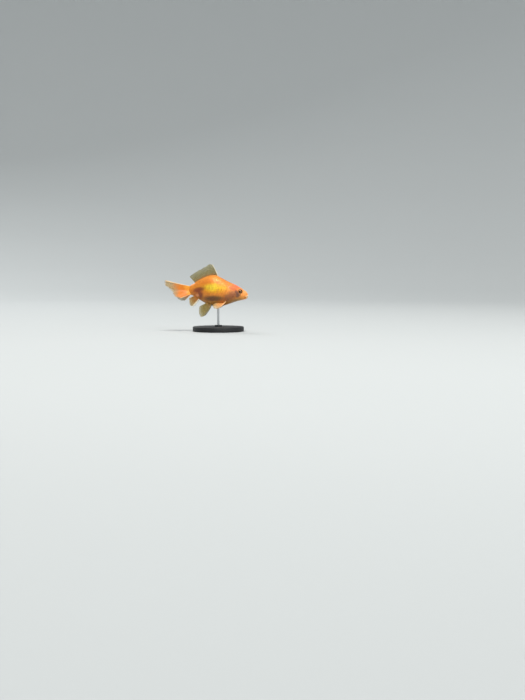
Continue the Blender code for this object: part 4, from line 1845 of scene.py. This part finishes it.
@dataclass(frozen=True)
class ScaleCoat:
    """The rows of scales that follow the lateral line, on one side. Lengths in millimetres."""

    body: BodyForm
    relief: Relief
    side: Side
    row_spacing: float = 1.95
    pitch: float = 1.32
    overlap: float = 2.30
    breadth: float = 1.98
    rows_each_way: int = 13
    seed: int = 7
    station_range: tuple[float, float, int] = (11.0, 53.2, 520)
    first_past_gills: float = -0.9
    last: float = 52.6
    dorsal_gap: Pair = (27.4, 48.6)
    edge_gaps: Pair = (0.25, 0.30)
    ridge_spacing: float = 0.94
    ridge_size: float = 0.90
    gill_size: float = 0.84
    gill_run: Pair = (-0.5, 3.0)
    thinning: float = 0.42
    turn_steps: int = 241
    tilt_spread: float = 0.035
    size_spread: float = 0.02
    finer: Stations = ((12, 0.86), (24, 1.0), (42, 0.98), (53, 0.80))
    lateral_line: Stations = (
        (10.0, 4.6), (15.0, 3.7), (20.0, 2.7), (24.0, 1.8), (30.0, 0.9), (38.0, 0.5),
        (46.0, 0.7), (54.0, 0.3),
    )

    def half_girths(self, stations: Array) -> tuple[Array, Array, Array]:
        """Measure round the body from the back to the belly.

        Args:
            stations: places behind the snout.

        Returns:
            The turns; at each station, how far each is up from the lateral line; and the
            half girth there.
        """
        turns = np.linspace(0, math.pi, self.turn_steps)
        behind, turn = np.meshgrid(stations * MM, turns, indexing="ij")
        points = self.body.skin(behind, turn) / MM
        steps = np.linalg.norm(np.diff(points[..., 1:], axis=1), axis=-1)
        down = np.concatenate((np.zeros((len(stations), 1)), np.cumsum(steps, axis=1)), axis=1)
        line = Curve(self.lateral_line)(stations)
        at_line = np.array([
            np.interp(-level, -heights, away)
            for level, heights, away in zip(line, points[..., 2], down)
        ])
        return turns, at_line[:, None] - down, down[:, -1]

    def rows(self, stations: Array) -> list[ScaleRow]:
        """Set out the rows of the flank, and the left side's rows along back and belly.

        Args:
            stations: places behind the snout.

        Returns:
            The rows.
        """
        turns, up, girth = self.half_girths(stations)
        spacing = self.row_spacing * (girth / girth.max()) ** self.thinning
        made = []
        for row in range(-self.rows_each_way, self.rows_each_way + 1):
            level = row * spacing
            inside = (level < up[:, 0] - self.edge_gaps[0] * spacing) & (
                level > up[:, -1] + self.edge_gaps[1] * spacing)
            turn = np.array([np.interp(-a, -ups, turns) for a, ups in zip(level, up)])
            made.append(ScaleRow(turn, inside, spacing, 0.5 * (row % 2), row == 0))
        if self.side is Side.LEFT:
            bare = (stations >= self.dorsal_gap[0]) & (stations <= self.dorsal_gap[1])
            for turn, shown in ((0.0, ~bare), (math.pi, np.ones_like(bare))):
                made.append(ScaleRow(np.full(len(stations), turn), shown,
                                     spacing * self.ridge_spacing, 0.5, size=self.ridge_size))
        return made

    def roots(self) -> dict[str, Array]:
        """Find the scales' roots and their marks.

        Returns:
            By name, an array with a row for each scale.
        """
        stations = np.linspace(*self.station_range)
        pitch = self.pitch * np.interp(stations, *zip(*self.finer))
        chance = np.random.default_rng(self.seed + self.side.value)
        kept = [scale for row in self.rows(stations)
                for scale in self.along_row(stations, pitch, row, chance)]
        return {name: np.array([scale[name] for scale in kept]) for name in kept[0]}

    def along_row(
        self, stations: Array, pitch: Array, row: ScaleRow,
        chance: np.random.Generator,
    ) -> list[dict]:
        """Find the scales of one row.

        Args:
            stations: places behind the snout.
            pitch: the spacing along the row at each station.
            row: the row.
            chance: the source of the small differences between scales.

        Returns:
            The values of each scale, by name.
        """
        points = self.body.skin(stations * MM, row.turn)
        facing = self.body.normals(stations * MM, row.turn)
        lie = unit(np.gradient(points, axis=0))
        steps = lengths_along(points) / MM
        count = np.concatenate(((0.0,), np.cumsum(steps * 2 / (pitch[1:] + pitch[:-1]))))
        sign = np.array((1.0, self.side.value, 1.0))
        found = []
        for number in np.arange(math.ceil(count[0]), math.floor(count[-1])) + row.offset:
            i = round(float(np.interp(number, count, np.arange(len(count)))))
            place = stations[i]
            past = self.relief.past_gills(place, row.turn[i])
            if not row.shown[i] or past < self.first_past_gills or place > self.last:
                continue
            tilt = chance.normal(0.0, self.tilt_spread)
            way = unit(lie[i] + tilt * np.cross(facing[i], lie[i]))
            full = float(smooth_step(past, *self.gill_run))
            size = self.gill_size + (1 - self.gill_size) * full
            size = size * row.size * MM * chance.normal(1.0, self.size_spread, 2)
            share = self.side.value * row.turn[i] / TURN % 1.0
            spot = 0.02 + 0.96 * np.array((place * MM / self.body.length, share))
            found.append({
                "point": points[i] * sign, "facing": facing[i] * sign, "lie": way * sign,
                "long": self.overlap * pitch[i] * size[0],
                "wide": self.breadth * row.spacing[i] * size[1],
                "tone": chance.random(), "line": float(row.pored),
                "spot": (*spot, 0.0),
            })
        return found

    def bed(self, rows: int = 200, around: int = 128) -> Object:
        """Make the plain form of the body that the scales are laid on.

        Args:
            rows: how many rings of points it has.
            around: how many points a ring has.

        Returns:
            The form.
        """
        behind, turn = round_grid(
            np.linspace(0.2 * MM, self.body.length - 0.2 * MM, rows), around)
        points = self.body.skin(behind, turn).reshape(-1, 3)
        facing = self.body.normals(behind, turn).reshape(-1, 3)
        bed = new_piece("scale_bed", self.body.place(points), tube_faces(rows, around))
        mark_points(bed, skin_facing=self.body.turned(points, facing))
        return bed

    def build(self, tree: NodeTree, finish: Material) -> None:
        """Grow the scales.

        Args:
            tree: the scale tree.
            finish: the scales' material.
        """
        roots = self.roots()
        points = roots.pop("point")
        for name in ("facing", "lie"):
            roots[name] = self.body.turned(points, roots[name])
        host = new_piece("scale_roots", self.body.place(points), [])
        mark_points(host, **roots)
        bed = self.bed()
        name = f"scales_{self.side.word}"
        piece = grown_by_nodes(name, host, tree, {"Body": bed, "Finish": finish})
        bpy.data.objects.remove(bed, do_unlink=True)
        LOG.info("%s: %d scales", name, len(points))
        settle(piece, (), None)


# ---- Fins ----


def ray_tree() -> NodeTree:
    """Make the tree that turns each drawn line into a tapering fin ray.

    Returns:
        The geometry tree. The points carry girth, across, along and reach.
    """
    tree, w, start, end = new_group("Fin Rays", "GeometryNodeTree", {
        "Lines": "Geometry", "Thickness": 0.00016, "Sides": 6, "Finish": "Material",
    }, {"Rays": "Geometry"})
    given = start.outputs
    curves = w.add("GeometryNodeMeshToCurve", {"Mesh": given["Lines"]})
    ring = w.add("GeometryNodeCurvePrimitiveCircle", {"Resolution": given["Sides"], "Radius": 1.0})
    tubes = w.add("GeometryNodeCurveToMesh", {
        "Curve": curves.outputs["Curve"], "Profile Curve": ring.outputs["Curve"],
        "Scale": w.times(stored(w, "girth"), given["Thickness"]), "Fill Caps": True,
    })
    w.feed(end.inputs["Rays"], finished(w, tubes.outputs["Mesh"], given["Finish"]))
    return tree


@dataclass(frozen=True)
class Branch:
    """One line of a forked ray: the sides it takes at the two forks, and where it starts."""

    near: int = 0
    far: int = 0
    start: float = 0.0


@dataclass
class Fin:
    """A fan of rays with a membrane. Each tuple runs from the first ray to the last."""

    body: BodyForm
    name: str
    nodes: tuple[str, ...]
    roots: Triples
    ways: Triples
    lengths: Stations
    curl: Triples
    rays: int
    spines: int = 1
    scallop: float = 0.045
    ragged: float = 0.015
    wave: float = 0.16 * MM
    thick: float = 0.24 * MM
    thin: float = 0.10 * MM
    ray_radius: float = 0.115 * MM
    ray_taper: float = 0.72
    spine_girth: float = 1.35
    branch_girth: float = 0.8
    branch_reach: float = 0.012
    forks: tuple[Pair, Pair] = ((0.15, 0.40), (0.085, 0.68))
    ripples: float = 5.0
    ripple_start: float = 0.8
    tip: Pair = (0.98, 0.6)
    margin: Pair = (0.002, 0.998)
    edge_rounding: Pair = (2.0, 9.0)
    mirror: bool = False
    seed: int = 3
    wear_steps: int = 24
    ray_steps: int = 22
    steps_between: int = 5
    steps_along: int = 26
    branches: tuple[Branch, ...] = (
        Branch(-1, -1), Branch(-1, 1, 0.70), Branch(1, -1, 0.46), Branch(1, 1, 0.74),
    )

    def __post_init__(self) -> None:
        """Fit curves through the rays' roots, directions, curls and lengths."""
        self.root_path = Path(self.roots)
        self.way_path = Path(self.ways)
        self.curl_path = Path(self.curl)
        self.length_curve = Curve(self.lengths)

    def sheet(self, across: Array, along: Array) -> Array:
        """Find points of the middle of the fin.

        Args:
            across: shares from the first edge to the last.
            along: shares from the root to the tips.

        Returns:
            World points.
        """
        reach = (self.length_curve(across) * along)[..., None]
        spots = self.root_path(across) + unit(self.way_path(across)) * reach
        spots = spots + self.curl_path(across) * (along**2)[..., None]
        beat = np.sin(across * math.pi * self.ripples + self.ripple_start + self.seed)
        spots[..., 1] += beat * along**1.5 * self.wave
        if self.mirror:
            spots[..., 1] *= -1
        return self.body.place(spots)

    def ends(self, across: Array) -> Array:
        """Find how far along the rays the membrane reaches, hollowed between ray tips.

        Args:
            across: shares from the first edge to the last.

        Returns:
            Shares of the rays' lengths.
        """
        beat = np.abs(np.sin(math.pi * across * self.rays))
        chance = np.random.default_rng(self.seed)
        wear = chance.normal(0, self.ragged, self.wear_steps)
        worn = Curve(list(zip(np.linspace(0, 1, self.wear_steps), wear)))
        return 1.0 - self.scallop * (1 - beat) + worn(across)

    def membrane(self, finish: Material) -> None:
        """Build the membrane as a thin closed sheet.

        Args:
            finish: its material.
        """
        columns, rows = self.rays * self.steps_between + 1, self.steps_along + 1
        across, along = np.meshgrid(np.linspace(0, 1, columns), np.linspace(0, 1, rows),
                                    indexing="ij")
        reach = along * self.ends(across)
        middle = self.sheet(across, reach)
        facing = unit(np.cross(*np.gradient(middle, axis=(0, 1))))
        depth = 0.5 * (self.thick + (self.thin - self.thick) * along)
        side = np.minimum(across, 1 - across) * self.rays * self.edge_rounding[0]
        edge = np.minimum(side, (1 - along) * self.edge_rounding[1])
        offset = facing * (depth * np.sqrt(np.clip(edge, 0, 1)))[..., None]
        points = np.vstack(((middle + offset).reshape(-1, 3), (middle - offset).reshape(-1, 3)))
        faces: Faces = []
        for i in range(columns - 1):
            for j in range(rows - 1):
                first, last = i * rows + j, (i + 1) * rows + j
                face = (first, last, last + 1, first + 1)
                faces.append(face)
                faces.append(tuple(face[k] + columns * rows for k in (0, 3, 2, 1)))
        piece = new_piece(f"{self.name}_membrane", points, faces)
        mark_points(piece, across=np.tile(across.ravel(), 2), along=np.tile(reach.ravel(), 2))
        face_outwards(piece, weld=1e-7)
        settle(piece, self.nodes, finish)

    def branch_line(self, at: float, branch: Branch, strong: float) -> tuple[Array, dict]:
        """Draw one line of a ray.

        Args:
            at: the ray's place across the fan.
            branch: which line of the ray it is.
            strong: how thick the ray is.

        Returns:
            The line's points, and the marks of each point.
        """
        steps = max(6, int(self.ray_steps * (1 - branch.start)))
        shares = np.linspace(branch.start, 1.0, steps)
        shift = sum(way * apart * smooth_step(shares, fork, 1.0)
                    for way, (apart, fork) in zip((branch.near, branch.far), self.forks))
        across = np.clip(at + 1.0 / self.rays * shift, *self.margin)
        along = shares * self.ends(np.array([at]))[0]
        line = self.sheet(across, along)
        thinner = strong * (self.branch_girth if branch.start else 1.0)
        tips = np.where(shares > self.tip[0], self.tip[1], 1.0)
        girth = (1.0 - self.ray_taper * shares) * thinner * tips
        reach = np.concatenate(((0.0,), np.cumsum(lengths_along(line))))
        reach = reach + branch.start * self.branch_reach
        return line, {"girth": girth, "across": across, "along": along, "reach": reach}

    def rayed(self, tree: NodeTree, finish: Material) -> None:
        """Grow the rays. Each forks near its middle and near its tips; a spine stays single.

        Args:
            tree: the ray tree.
            finish: the rays' material.
        """
        lines: list[Array] = []
        marks: list[dict] = []
        for number, at in enumerate((np.arange(self.rays) + 0.5) / self.rays):
            spine = number < self.spines
            for branch in (Branch(),) if spine else self.branches:
                strong = self.spine_girth if spine else 1.0
                line, values = self.branch_line(at, branch, strong)
                lines.append(line)
                marks.append(values)
        starts = np.cumsum([0, *map(len, lines)])
        edges = [(int(start) + i, int(start) + i + 1)
                 for start, line in zip(starts, lines) for i in range(len(line) - 1)]
        mesh = bpy.data.meshes.new("ray_lines")
        mesh.from_pydata(np.vstack(lines).tolist(), edges, [])
        host = link("ray_lines", mesh)
        mark_points(host, **{name: np.concatenate([one[name] for one in marks])
                             for name in marks[0]})
        piece = grown_by_nodes(f"{self.name}_rays", host, tree, {
            "Thickness": self.ray_radius, "Finish": finish,
        })
        settle(piece, self.nodes, None)


@dataclass(frozen=True)
class FinSet:
    """All the fins, as the CAD sets them out."""

    body: BodyForm
    buried: float = 0.020 * BodyForm.length
    tail_feet: tuple[tuple[Side, float, float], ...] = (
        (Side.LEFT, 1.15, 1.10), (Side.RIGHT, 1.00, 0.55),
    )
    finishes: tuple[FinFinish, ...] = (
        FinFinish("dorsal", "A4641A", "86762E", "8E8646", "E4DCC0", "947A34", "A8985A",
                  (0.88, 0.66, 0.44), 0.045),
        FinFinish("pectoral", "F09C50", "E49C54", "C8A468", "FFD2A0", "EC9C54", "DCC08C",
                  (0.94, 0.76, 0.46), 0.16),
        FinFinish("pelvic", "A87634", "8C7A3C", "988C54", "CCC298", "A87E3E", "B4A470",
                  (0.88, 0.64, 0.48), 0.08),
        FinFinish("anal", "C0702A", "A87834", "B8A06A", "F8F0D8", "B47A36", "CDBB8C",
                  (0.92, 0.70, 0.50), 0.22),
        # Far tail half: a darker, olive copy of the tail's colours, as painted shade.
        FinFinish("tail_left", "FAA632", "D67E24", "968C50", "E8CFA0", "E07E26", "BCA874",
                  (0.98, 0.84, 0.42), 0.045, 0.03, 0.30, -0.06),
        FinFinish("tail", "FAA632", "DC7A18", "B89C68", "F4CFA0", "EC7E1E", "E4CFA6",
                  (0.98, 0.88, 0.44), 0.045, 0.05, 0.52, 0.42),
    )

    def paired(self, name: str, side: Side, **values: object) -> Fin:
        """Return one fin of a pair, with its other values."""
        values.setdefault("nodes", (f"{name}_fin_{side.word}",))
        return Fin(self.body, f"{name}_{side.word}", mirror=side is Side.RIGHT, **values)

    def dorsal(self) -> Fin:
        """Set out the fin on the back: a steep first spine, and rays that lean back ever more.

        Returns:
            The fin.
        """
        places = np.linspace(0.518, 0.895, 5) * self.body.length
        leans = [math.radians(lean) for lean in (23, 31, 38, 43, 43)]
        return Fin(
            self.body, "dorsal", ("dorsal_fin",),
            [(at, 0.0, float(self.body.back_curve(at)) - self.buried) for at in places],
            [(math.sin(lean), 0.0, math.cos(lean)) for lean in leans],
            ((0.0, 0.0124), (0.08, 0.0124), (0.22, 0.0107), (0.45, 0.0088), (0.75, 0.0083),
             (1.0, 0.0076)),
            ((0.0018, 0.0, 0.0), (0.0012, 0.0012, 0.0)),
            rays=18, spines=2, seed=5, scallop=0.026,
        )

    def pectoral(self, side: Side) -> Fin:
        """Set out a fin behind the gills, swept down and back with its blade spread outwards.

        Args:
            side: the fin's side.

        Returns:
            The fin.
        """
        feet = np.array(((0.344, -0.097), (0.356, -0.120), (0.372, -0.141))) * self.body.length
        return self.paired(
            "pectoral", side,
            roots=[(s, float(self.body.skin_out(s, h)) - self.buried, h) for s, h in feet],
            ways=((0.24, 0.70, -0.70), (0.66, 0.62, -0.38), (0.90, 0.42, -0.12)),
            lengths=((0.0, 0.0106), (0.2, 0.0130), (0.55, 0.0124), (1.0, 0.0078)),
            curl=((0.0030, -0.0006, 0.0), (0.0005, 0.0006, 0.0002)),
            rays=14, seed=11, ray_radius=0.11 * MM,
        )

    def pelvic(self, side: Side) -> Fin:
        """Set out a belly fin, hung down and back from beside the keel.

        Args:
            side: the fin's side.

        Returns:
            The fin.
        """
        behind, turn = np.array(((0.585, 2.66), (0.618, 2.62), (0.652, 2.58))).T
        roots = self.body.skin(behind * self.body.length, turn) + (0.0, 0.0, self.buried)
        return self.paired(
            "pelvic", side, roots=roots.tolist(),
            ways=((0.20, 0.30, -0.92), (0.42, 0.26, -0.86), (0.74, 0.16, -0.64)),
            lengths=((0.0, 0.0128), (0.22, 0.0148), (0.6, 0.0128), (1.0, 0.0080)),
            curl=((0.0030, 0.0004, 0.0), (0.0008, 0.0, 0.0003)), rays=10, seed=17,
        )

    def anal(self, side: Side) -> Fin:
        """Set out one of the pair of fins under the tail stalk.

        Args:
            side: the fin's side.

        Returns:
            The fin.
        """
        places = np.linspace(0.795, 0.885, 3) * self.body.length
        return self.paired(
            "anal", side,
            roots=[(at, 0.0013, float(self.body.belly_curve(at)) + self.buried) for at in places],
            ways=((0.46, 0.16, -0.88), (0.62, 0.17, -0.76), (0.80, 0.14, -0.56)),
            lengths=((0.0, 0.0086), (0.2, 0.0096), (0.6, 0.0080), (1.0, 0.0055)),
            curl=((0.0012, 0.0003, 0.0), (0.0006, 0.0, 0.0)), rays=8, seed=23,
        )

    def tail(self, side: Side, spread: float, drop: float) -> Fin:
        """Set out one half of the double tail.

        Args:
            side: which half.
            spread: how far the lowest ray slopes out.
            drop: how far the lowest ray slopes down.

        Returns:
            The fin.
        """
        heights = ((0.0008, 0.0040), (0.0010, 0.0021), (0.0012, 0.0002), (0.0014, -0.0016),
                   (0.0016, -0.0032))
        return self.paired(
            "tail", side,
            nodes=(f"tail_fin_upper_{side.word}", f"tail_fin_lower_{side.word}"),
            roots=[(0.955 * self.body.length, out, above) for out, above in heights],
            ways=((1.0, 0.05, 0.07), (1.0, 0.10, -0.05), (1.0, 0.22, -0.17),
                  (1.0, 0.6 * spread, -0.6 * drop), (1.0, spread, -drop)),
            lengths=((0.0, 0.0247), (0.04, 0.0252), (0.25, 0.0228), (0.46, 0.0178),
                     (0.54, 0.0171), (0.7, 0.0166), (0.86, 0.0150), (1.0, 0.0112)),
            curl=((0.0, 0.0, 0.0010), (0.0, 0.0002, 0.0005), (0.0, 0.0004, 0.0),
                  (0.0, 0.0006, 0.0), (0.0, 0.0010, 0.0)),
            rays=20, scallop=0.05, ragged=0.02, wave=0.22 * MM, seed=29 + side.value,
            steps_along=34,
        )

    def fins(self) -> list[Fin]:
        """Set out every fin.

        Returns:
            The fins.
        """
        made = [self.dorsal()]
        for side in Side:
            made += [self.pectoral(side), self.pelvic(side), self.anal(side)]
        made += [self.tail(side, spread, drop) for side, spread, drop in self.tail_feet]
        return made

    def bases(self) -> tuple[FinBase, ...]:
        """Set out the fleshy swellings at the roots of the paired fins.

        Returns:
            The swellings.
        """
        found = []
        for fin, reach, height in ((self.pectoral(Side.LEFT), 1.5, 0.50),
                                   (self.pelvic(Side.LEFT), 1.5, 0.42),
                                   (self.anal(Side.LEFT), 1.6, 0.30)):
            behind, _, above = np.mean(np.array(fin.roots), axis=0)
            out = float(self.body.skin_out(behind, above))
            found.append(FinBase((behind / MM, out / MM, above / MM), reach, height))
        return tuple(found)

    def build(self, rays: NodeTree) -> None:
        """Build every fin's membrane and rays.

        Args:
            rays: the ray tree.
        """
        group = fin_tint_group()
        dressed: dict[str, tuple[Material, Material]] = {}
        for fin in self.fins():
            finish = next(one for one in self.finishes if fin.name.startswith(one.name))
            if finish.name not in dressed:
                dressed[finish.name] = (finish.membrane(group, fin.rays),
                                        finish.rays(group, fin.rays))
            membrane, ray = dressed[finish.name]
            fin.membrane(membrane)
            fin.rayed(rays, ray)


# ---- Stand ----


@dataclass(frozen=True)
class Stand:
    """A turned base with a boss, felt under it, and the rod that holds the fish."""

    body: BodyForm
    base_radius: float = 0.023
    base_height: float = 0.0044
    base_bevel: float = 0.0007
    boss_radius: float = 0.0034
    boss_height: float = 0.0014
    boss_bevel: float = 0.0004
    bore_depth: float = 0.0006
    rod_radius: float = 0.0010
    rod_foot: float = 0.0022
    rod_depth: float = 0.0035
    clearance: float = 0.0002
    chamfer: float = 0.0002
    felt_height: float = 0.0005
    felt_inset: float = 0.0016
    felt_squeeze: float = 0.8
    around: int = 144

    def turned(self, name: str, profile: Stations, worn: Sequence[float] = ()) -> Object:
        """Make a closed turned shape about the upright axis.

        Args:
            name: the object's name.
            profile: (radius, height) points, from the underside to the top.
            worn: how worn the finish is at each profile point, from 0 to 1, or nothing for new.

        Returns:
            The object.
        """
        faces = tube_faces(len(profile), self.around)
        last = (len(profile) - 1) * self.around
        faces.append(tuple(range(self.around))[::-1])
        faces.append(tuple(range(last, last + self.around)))
        piece = new_piece(name, lathe(profile, self.around), faces)
        wear = np.array(worn or [0.0] * len(profile), dtype=float)
        mark_points(piece, edge=np.repeat(wear, self.around))
        face_outwards(piece)
        piece.data.set_sharp_from_angle(angle=math.radians(40))
        return piece

    @staticmethod
    def arc(centre: Pair, radius: float, start: float, end: float, count: int) -> list[Pair]:
        """Return profile points along an arc, between two angles in degrees."""
        return [(centre[0] + radius * math.cos(a), centre[1] + radius * math.sin(a))
                for a in np.radians(np.linspace(start, end, count))]

    def base_profile(self) -> tuple[list[Pair], list[float]]:
        """Set out the base with its rounded rim, its boss and the mouth of the bore.

        Returns:
            The profile's points, and how worn each is.
        """
        top = self.base_height + self.boss_height
        bottom = self.felt_height * self.felt_squeeze
        small, wide, fine = self.base_bevel / 2, self.base_bevel, self.boss_bevel
        bore = self.rod_radius + self.clearance
        parts = (
            ([(self.base_radius - small - self.felt_inset, bottom)], 0.0),
            (self.arc((self.base_radius - small, bottom + small), small, -90, 0, 5), 0.4),
            (self.arc((self.base_radius - wide, self.base_height - wide), wide, 0, 90, 7), 0.9),
            (self.arc((self.boss_radius + fine, self.base_height + fine), fine, 270, 180, 6), 0.2),
            (self.arc((self.boss_radius - fine, top - fine), fine, 0, 90, 6), 1.0),
            ([(bore, top)], 0.3),
            ([(bore, top - self.bore_depth)], 0.0),
        )
        return ([point for points, _ in parts for point in points],
                [worn for points, worn in parts for _ in points])

    def build(self, paint: Material, steel: Material, felt: Material) -> None:
        """Build the stand's pieces.

        Args:
            paint: the base's material.
            steel: the rod's material.
            felt: the felt's material.
        """
        settle(self.turned("stand_disc", *self.base_profile()), ["stand_base"], paint)
        outer, cut = self.base_radius - self.felt_inset, self.chamfer
        pad = self.turned("stand_pad", [(outer - cut, 0.0), (outer, cut),
                                        (outer, self.felt_height)])
        settle(pad, (), felt)
        belly = float(self.body.belly_curve(self.body.balance * self.body.length))
        height = self.body.axis_height + belly * math.cos(self.body.nose_down) + self.rod_depth
        rod = self.turned("stand_pin", [
            (self.rod_radius - cut, self.rod_foot), (self.rod_radius, self.rod_foot + cut),
            (self.rod_radius, height - cut), (self.rod_radius - cut, height),
        ])
        settle(rod, ["stand_rod"], steel)


# ---- Studio ----


@dataclass(frozen=True)
class SoftLight:
    """A square soft light, aimed at the fish."""

    name: str
    spot: Triple
    size: float
    power: float
    warmth: Triple = (1.0, 1.0, 1.0)

    def hang(self, aim: Vector) -> None:
        """Hang the light where it belongs.

        Args:
            aim: what it is turned to.
        """
        lamp = bpy.data.lights.new(self.name, "AREA")
        lamp.shape = "SQUARE"
        lamp.size = self.size
        lamp.energy = self.power
        lamp.color = self.warmth
        point_at(link(self.name, lamp), Vector(self.spot), aim)


def point_at(holder: Object, spot: Vector, aim: Vector) -> None:
    """Put a light or a camera at a place, turned to what it is aimed at."""
    holder.location = spot
    holder.rotation_euler = (aim - spot).to_track_quat("-Z", "Y").to_euler()


@dataclass(frozen=True)
class Studio:
    """A pale floor that sweeps up all round, soft lights and the camera."""

    aim: Triple = (-0.0111, 0.0, 0.0360)
    lights: tuple[SoftLight, ...] = (
        SoftLight("key", (0.20, -0.55, 1.50), 0.70, 26.0, (1.0, 0.97, 0.93)),
        SoftLight("fill", (0.95, -1.00, 0.60), 0.80, 4.5, (0.94, 0.97, 1.0)),
        SoftLight("back", (-0.60, 0.80, 0.90), 0.60, 7.0),
    )
    floor_colour: str = "B4B8B8"
    floor_cloud: Layer = Layer("D5D5D2", 0.06)
    floor_around: int = 96
    floor_rings: tuple[float, ...] = (0.02, 0.3, 0.8)
    flat_reach: float = 0.9
    sweep_reach: float = 2.3
    sweep_height: float = 1.9
    sky_colour: tuple[float, float, float, float] = (0.90, 0.95, 1.0, 1.0)
    sky_power: float = 0.55
    distance: float = 1.20
    azimuth: float = 6.0
    elevation: float = 1.5
    view_height: float = 0.630
    aim_right: float = 0.0508
    aim_down: float = 0.0529

    def floor(self) -> None:
        """Make the floor and its sweep."""
        profile = [(reach, 0.0) for reach in (*self.floor_rings, self.flat_reach)]
        run = self.sweep_reach - self.flat_reach
        profile += [(self.flat_reach + run * math.sin(share),
                     self.sweep_height * (1 - math.cos(share)))
                    for share in np.linspace(0, math.pi / 2, 15)[1:]]
        faces = tube_faces(len(profile), self.floor_around)
        faces.append(tuple(range(self.floor_around)))
        floor = new_piece("studio_floor", lathe(profile, self.floor_around), faces)
        made, w, shader = new_material("studio_floor")
        cloudy = w.laid(self.floor_colour, w.noise(w.spot(), 3.0), self.floor_cloud)
        w.fill(shader, {"Base Color": cloudy, "Roughness": 0.85})
        floor.data.materials.append(made)

    def surroundings(self) -> None:
        """Make the lights and the pale surroundings."""
        for light in self.lights:
            light.hang(Vector(self.aim))
        world = bpy.data.worlds.new("studio")
        world.use_nodes = True
        sky = world.node_tree.nodes["Background"]
        sky.inputs["Color"].default_value = self.sky_colour
        sky.inputs["Strength"].default_value = self.sky_power
        bpy.context.scene.world = world
        bpy.context.scene.view_settings.view_transform = "Standard"

    def shoot(self) -> None:
        """Set up the camera, beside the fish's right flank and a little ahead of it."""
        azimuth, elevation = math.radians(self.azimuth), math.radians(self.elevation)
        way = Vector((
            math.sin(azimuth) * math.cos(elevation), -math.cos(azimuth) * math.cos(elevation),
            math.sin(elevation),
        ))
        right = Vector((math.cos(azimuth), math.sin(azimuth), 0.0))
        up = right.cross(-way)
        fish = Vector(self.aim)
        camera = bpy.data.cameras.new("camera")
        camera.sensor_fit = "VERTICAL"
        camera.angle_y = 2 * math.atan(self.view_height / 2 / self.distance)
        camera.clip_start = 0.01
        camera.clip_end = 20.0
        holder = link("camera", camera)
        point_at(holder, fish + way * self.distance,
                 fish + right * self.aim_right - up * self.aim_down)
        bpy.context.scene.camera = holder

    def build(self) -> None:
        """Build the studio."""
        self.floor()
        self.surroundings()
        self.shoot()


def main() -> None:
    """Build the goldfish, its stand and the studio."""
    logging.basicConfig(level=logging.INFO, format="%(name)s: %(message)s")
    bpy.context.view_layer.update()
    Studio().build()
    body = BodyForm()
    relief = Relief()
    places = fish_places_group(body)
    pigment = Pigment().group(places)
    fins = FinSet(body)
    eyes = tuple(Eye(body, side) for side in Side)
    Skin(body, relief, eyes, fins.bases()).build(SkinFinish().material(pigment, places))
    eye_finish = EyeFinish().material()
    for eye in eyes:
        eye.build(eye_finish)
    scales = scale_tree()
    scale_finish = ScaleFinish().material(pigment)
    for side in Side:
        ScaleCoat(body, relief, side).build(scales, scale_finish)
    fins.build(ray_tree())
    Stand(body).build(PaintedBaseFinish().material(), SteelFinish().material(),
                      FeltFinish().material())


if __name__ == "__main__":
    main()
